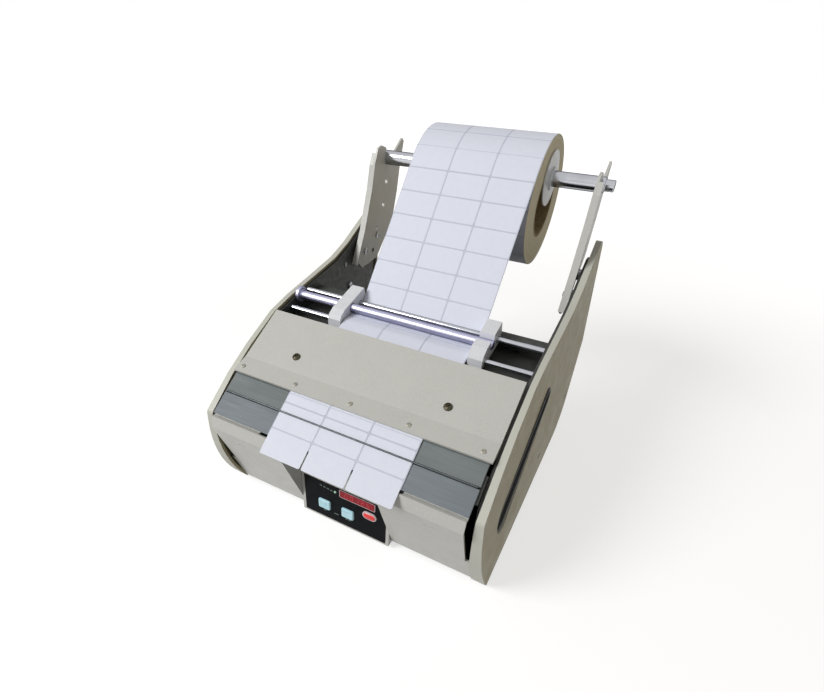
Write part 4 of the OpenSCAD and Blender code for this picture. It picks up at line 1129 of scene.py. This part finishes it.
def lay_labels(name, tree, tile, path, first, rows, body, thickness, replaced=()):
    """Labels along a path: first is the distance from the path's start to the first row's middle."""
    values = {"Label": tile, "Rows": rows, "First row": first, "Row pitch": ROW,
              "Column pitch": COLUMN_W, "Middle": WEB_X, "Thickness": thickness,
              "Material": MATERIALS["label_paper"]}
    line = [(k, k + 1) for k in range(len(path) - 1)]
    result = smooth(tree.run(name, [(0, p.x, p.y) for p in path], values, line), 35)
    new_piece(name, result, body, "label_paper", replaced)


def dense(path):
    """The same path with a point for about each millimetre."""
    points = [path[0]]
    for a, b in zip(path, path[1:]):
        count = max(1, int((b - a).length / MM))
        points += [a + (b - a) * (k + 1) / count for k in range(count)]
    return points


def path_length(path):
    return sum((b - a).length for a, b in zip(path, path[1:]))


def labels():
    """All label rows: round the roll, down the feed, over the plates and out over the peel edge."""
    tree = label_tree()
    tile = label_tile()
    thick = WEB_T / 2
    droop = Vector((-cos(LABEL_DROOP), -sin(LABEL_DROOP)))
    web = dense(feed_path() + stage_path()[1:] + [PEEL + WEB_OVER * UP + LABEL_OUT * droop])
    total = path_length(web)

    # Feed run: the rows start on the roll and go on until the top cover hides them
    first = ROW / 2
    under_cover = total - path_length(stage_path()[1:]) - LABEL_OUT
    rows = int((under_cover - first) / ROW + 0.5)
    lay_labels("feed_labels", tree, tile, web, first, rows, "root", thick)

    # Plates: the front row ends level with the labels' free edge
    last = total - ROW / 2 + LABEL_GAP / 2
    hidden_end = first + (rows - 0.5) * ROW
    rows = int((last + ROW / 2 - hidden_end) / ROW)
    lay_labels("front_labels_finished", tree, tile, web, last - (rows - 1) * ROW, rows, "root",
               thick, ["front_labels"])

    # Roll: rows follow on from the first row of the feed run
    angle = FEED_DEG + 90 - CLING_TURN
    wrap = arc(ROLL, ROLL_R - ROLL_SKIN, angle, angle + 360, 360)
    lay_labels("roll_labels", tree, tile, wrap, ROW / 2, WRAP_ROWS, "roll", ROLL_SKIN * 0.9)
    bpy.data.objects.remove(tile)


labels()

# ---------- light, floor and backdrop ----------


def background_rays(tree):
    """1 for rays that should see the plain white background."""
    path = add_node(tree, "ShaderNodeLightPath").outputs
    larger = {"operation": "MAXIMUM"}
    seen = add_node(tree, "ShaderNodeMath", larger, path["Is Camera Ray"], path["Is Glossy Ray"])
    return add_node(tree, "ShaderNodeMath", larger, seen.outputs[0],
                    path["Is Transmission Ray"]).outputs[0]


def make_world():
    """Soft warm light from all round, and plain white where the backdrop is seen."""
    world = bpy.data.worlds.new("studio")
    bpy.context.scene.world = world
    world.use_nodes = True
    tree = world.node_tree
    tree.nodes.clear()
    soft = add_node(tree, "ShaderNodeBackground", Color=(1.0, 0.95, 0.83, 1), Strength=0.26)
    white = add_node(tree, "ShaderNodeBackground", Color=(1, 1, 1, 1), Strength=1.0)
    mix = add_node(tree, "ShaderNodeMixShader", None, background_rays(tree), soft.outputs[0],
                   white.outputs[0])
    add_node(tree, "ShaderNodeOutputWorld", None, mix.outputs[0])


# The floor glows less near the object, so that the shadow shows, and fades to white
FLOOR_HALF = 6.0
FADE_FROM = 0.4
FADE_TO = 1.6
FLOOR_LEVEL = 0.66


def make_floor():
    """Pale floor: it takes the object's shadow close by and fades into the white backdrop."""
    half = FLOOR_HALF
    mesh = bpy.data.meshes.new("floor")
    mesh.from_pydata([(-half, -half, 0), (half, -half, 0), (half, half, 0), (-half, half, 0)], [],
                     [(0, 1, 2, 3)])
    floor = in_scene("floor", mesh)
    material = bpy.data.materials.new("floor_white")
    material.use_nodes = True
    tree = material.node_tree
    tree.nodes.clear()
    place = add_node(tree, "ShaderNodeTexCoord").outputs["Object"]
    reach = add_node(tree, "ShaderNodeVectorMath", {"operation": "LENGTH"}, place)
    level = add_node(tree, "ShaderNodeMapRange", Value=reach.outputs["Value"], From_Min=FADE_FROM,
                     From_Max=FADE_TO, To_Min=FLOOR_LEVEL, To_Max=1.0)
    seen = add_node(tree, "ShaderNodeMath", {"operation": "MULTIPLY"}, background_rays(tree),
                    level.outputs["Result"])
    matt = add_node(tree, "ShaderNodeBsdfDiffuse", Color=(0.5, 0.5, 0.5, 1))
    glow = add_node(tree, "ShaderNodeEmission", Color=(1, 1, 1, 1), Strength=seen.outputs[0])
    both = add_node(tree, "ShaderNodeAddShader", None, matt.outputs[0], glow.outputs[0])
    add_node(tree, "ShaderNodeOutputMaterial", None, both.outputs[0])
    mesh.materials.append(material)


def make_lamp(name, place, target, size, power):
    """Round white area lamp at a place, aimed at a target."""
    data = bpy.data.lights.new(name, "AREA")
    data.shape = "DISK"
    data.size = size
    data.energy = power
    lamp = in_scene(name, data)
    lamp.location = place
    lamp.rotation_euler = (Vector(target) - Vector(place)).to_track_quat("-Z", "Y").to_euler()


make_world()
make_floor()
make_lamp("key", (-1.5, -1.85, 1.85), (0, 0, 0.12), 1.3, 66)
bpy.context.scene.view_settings.view_transform = "Standard"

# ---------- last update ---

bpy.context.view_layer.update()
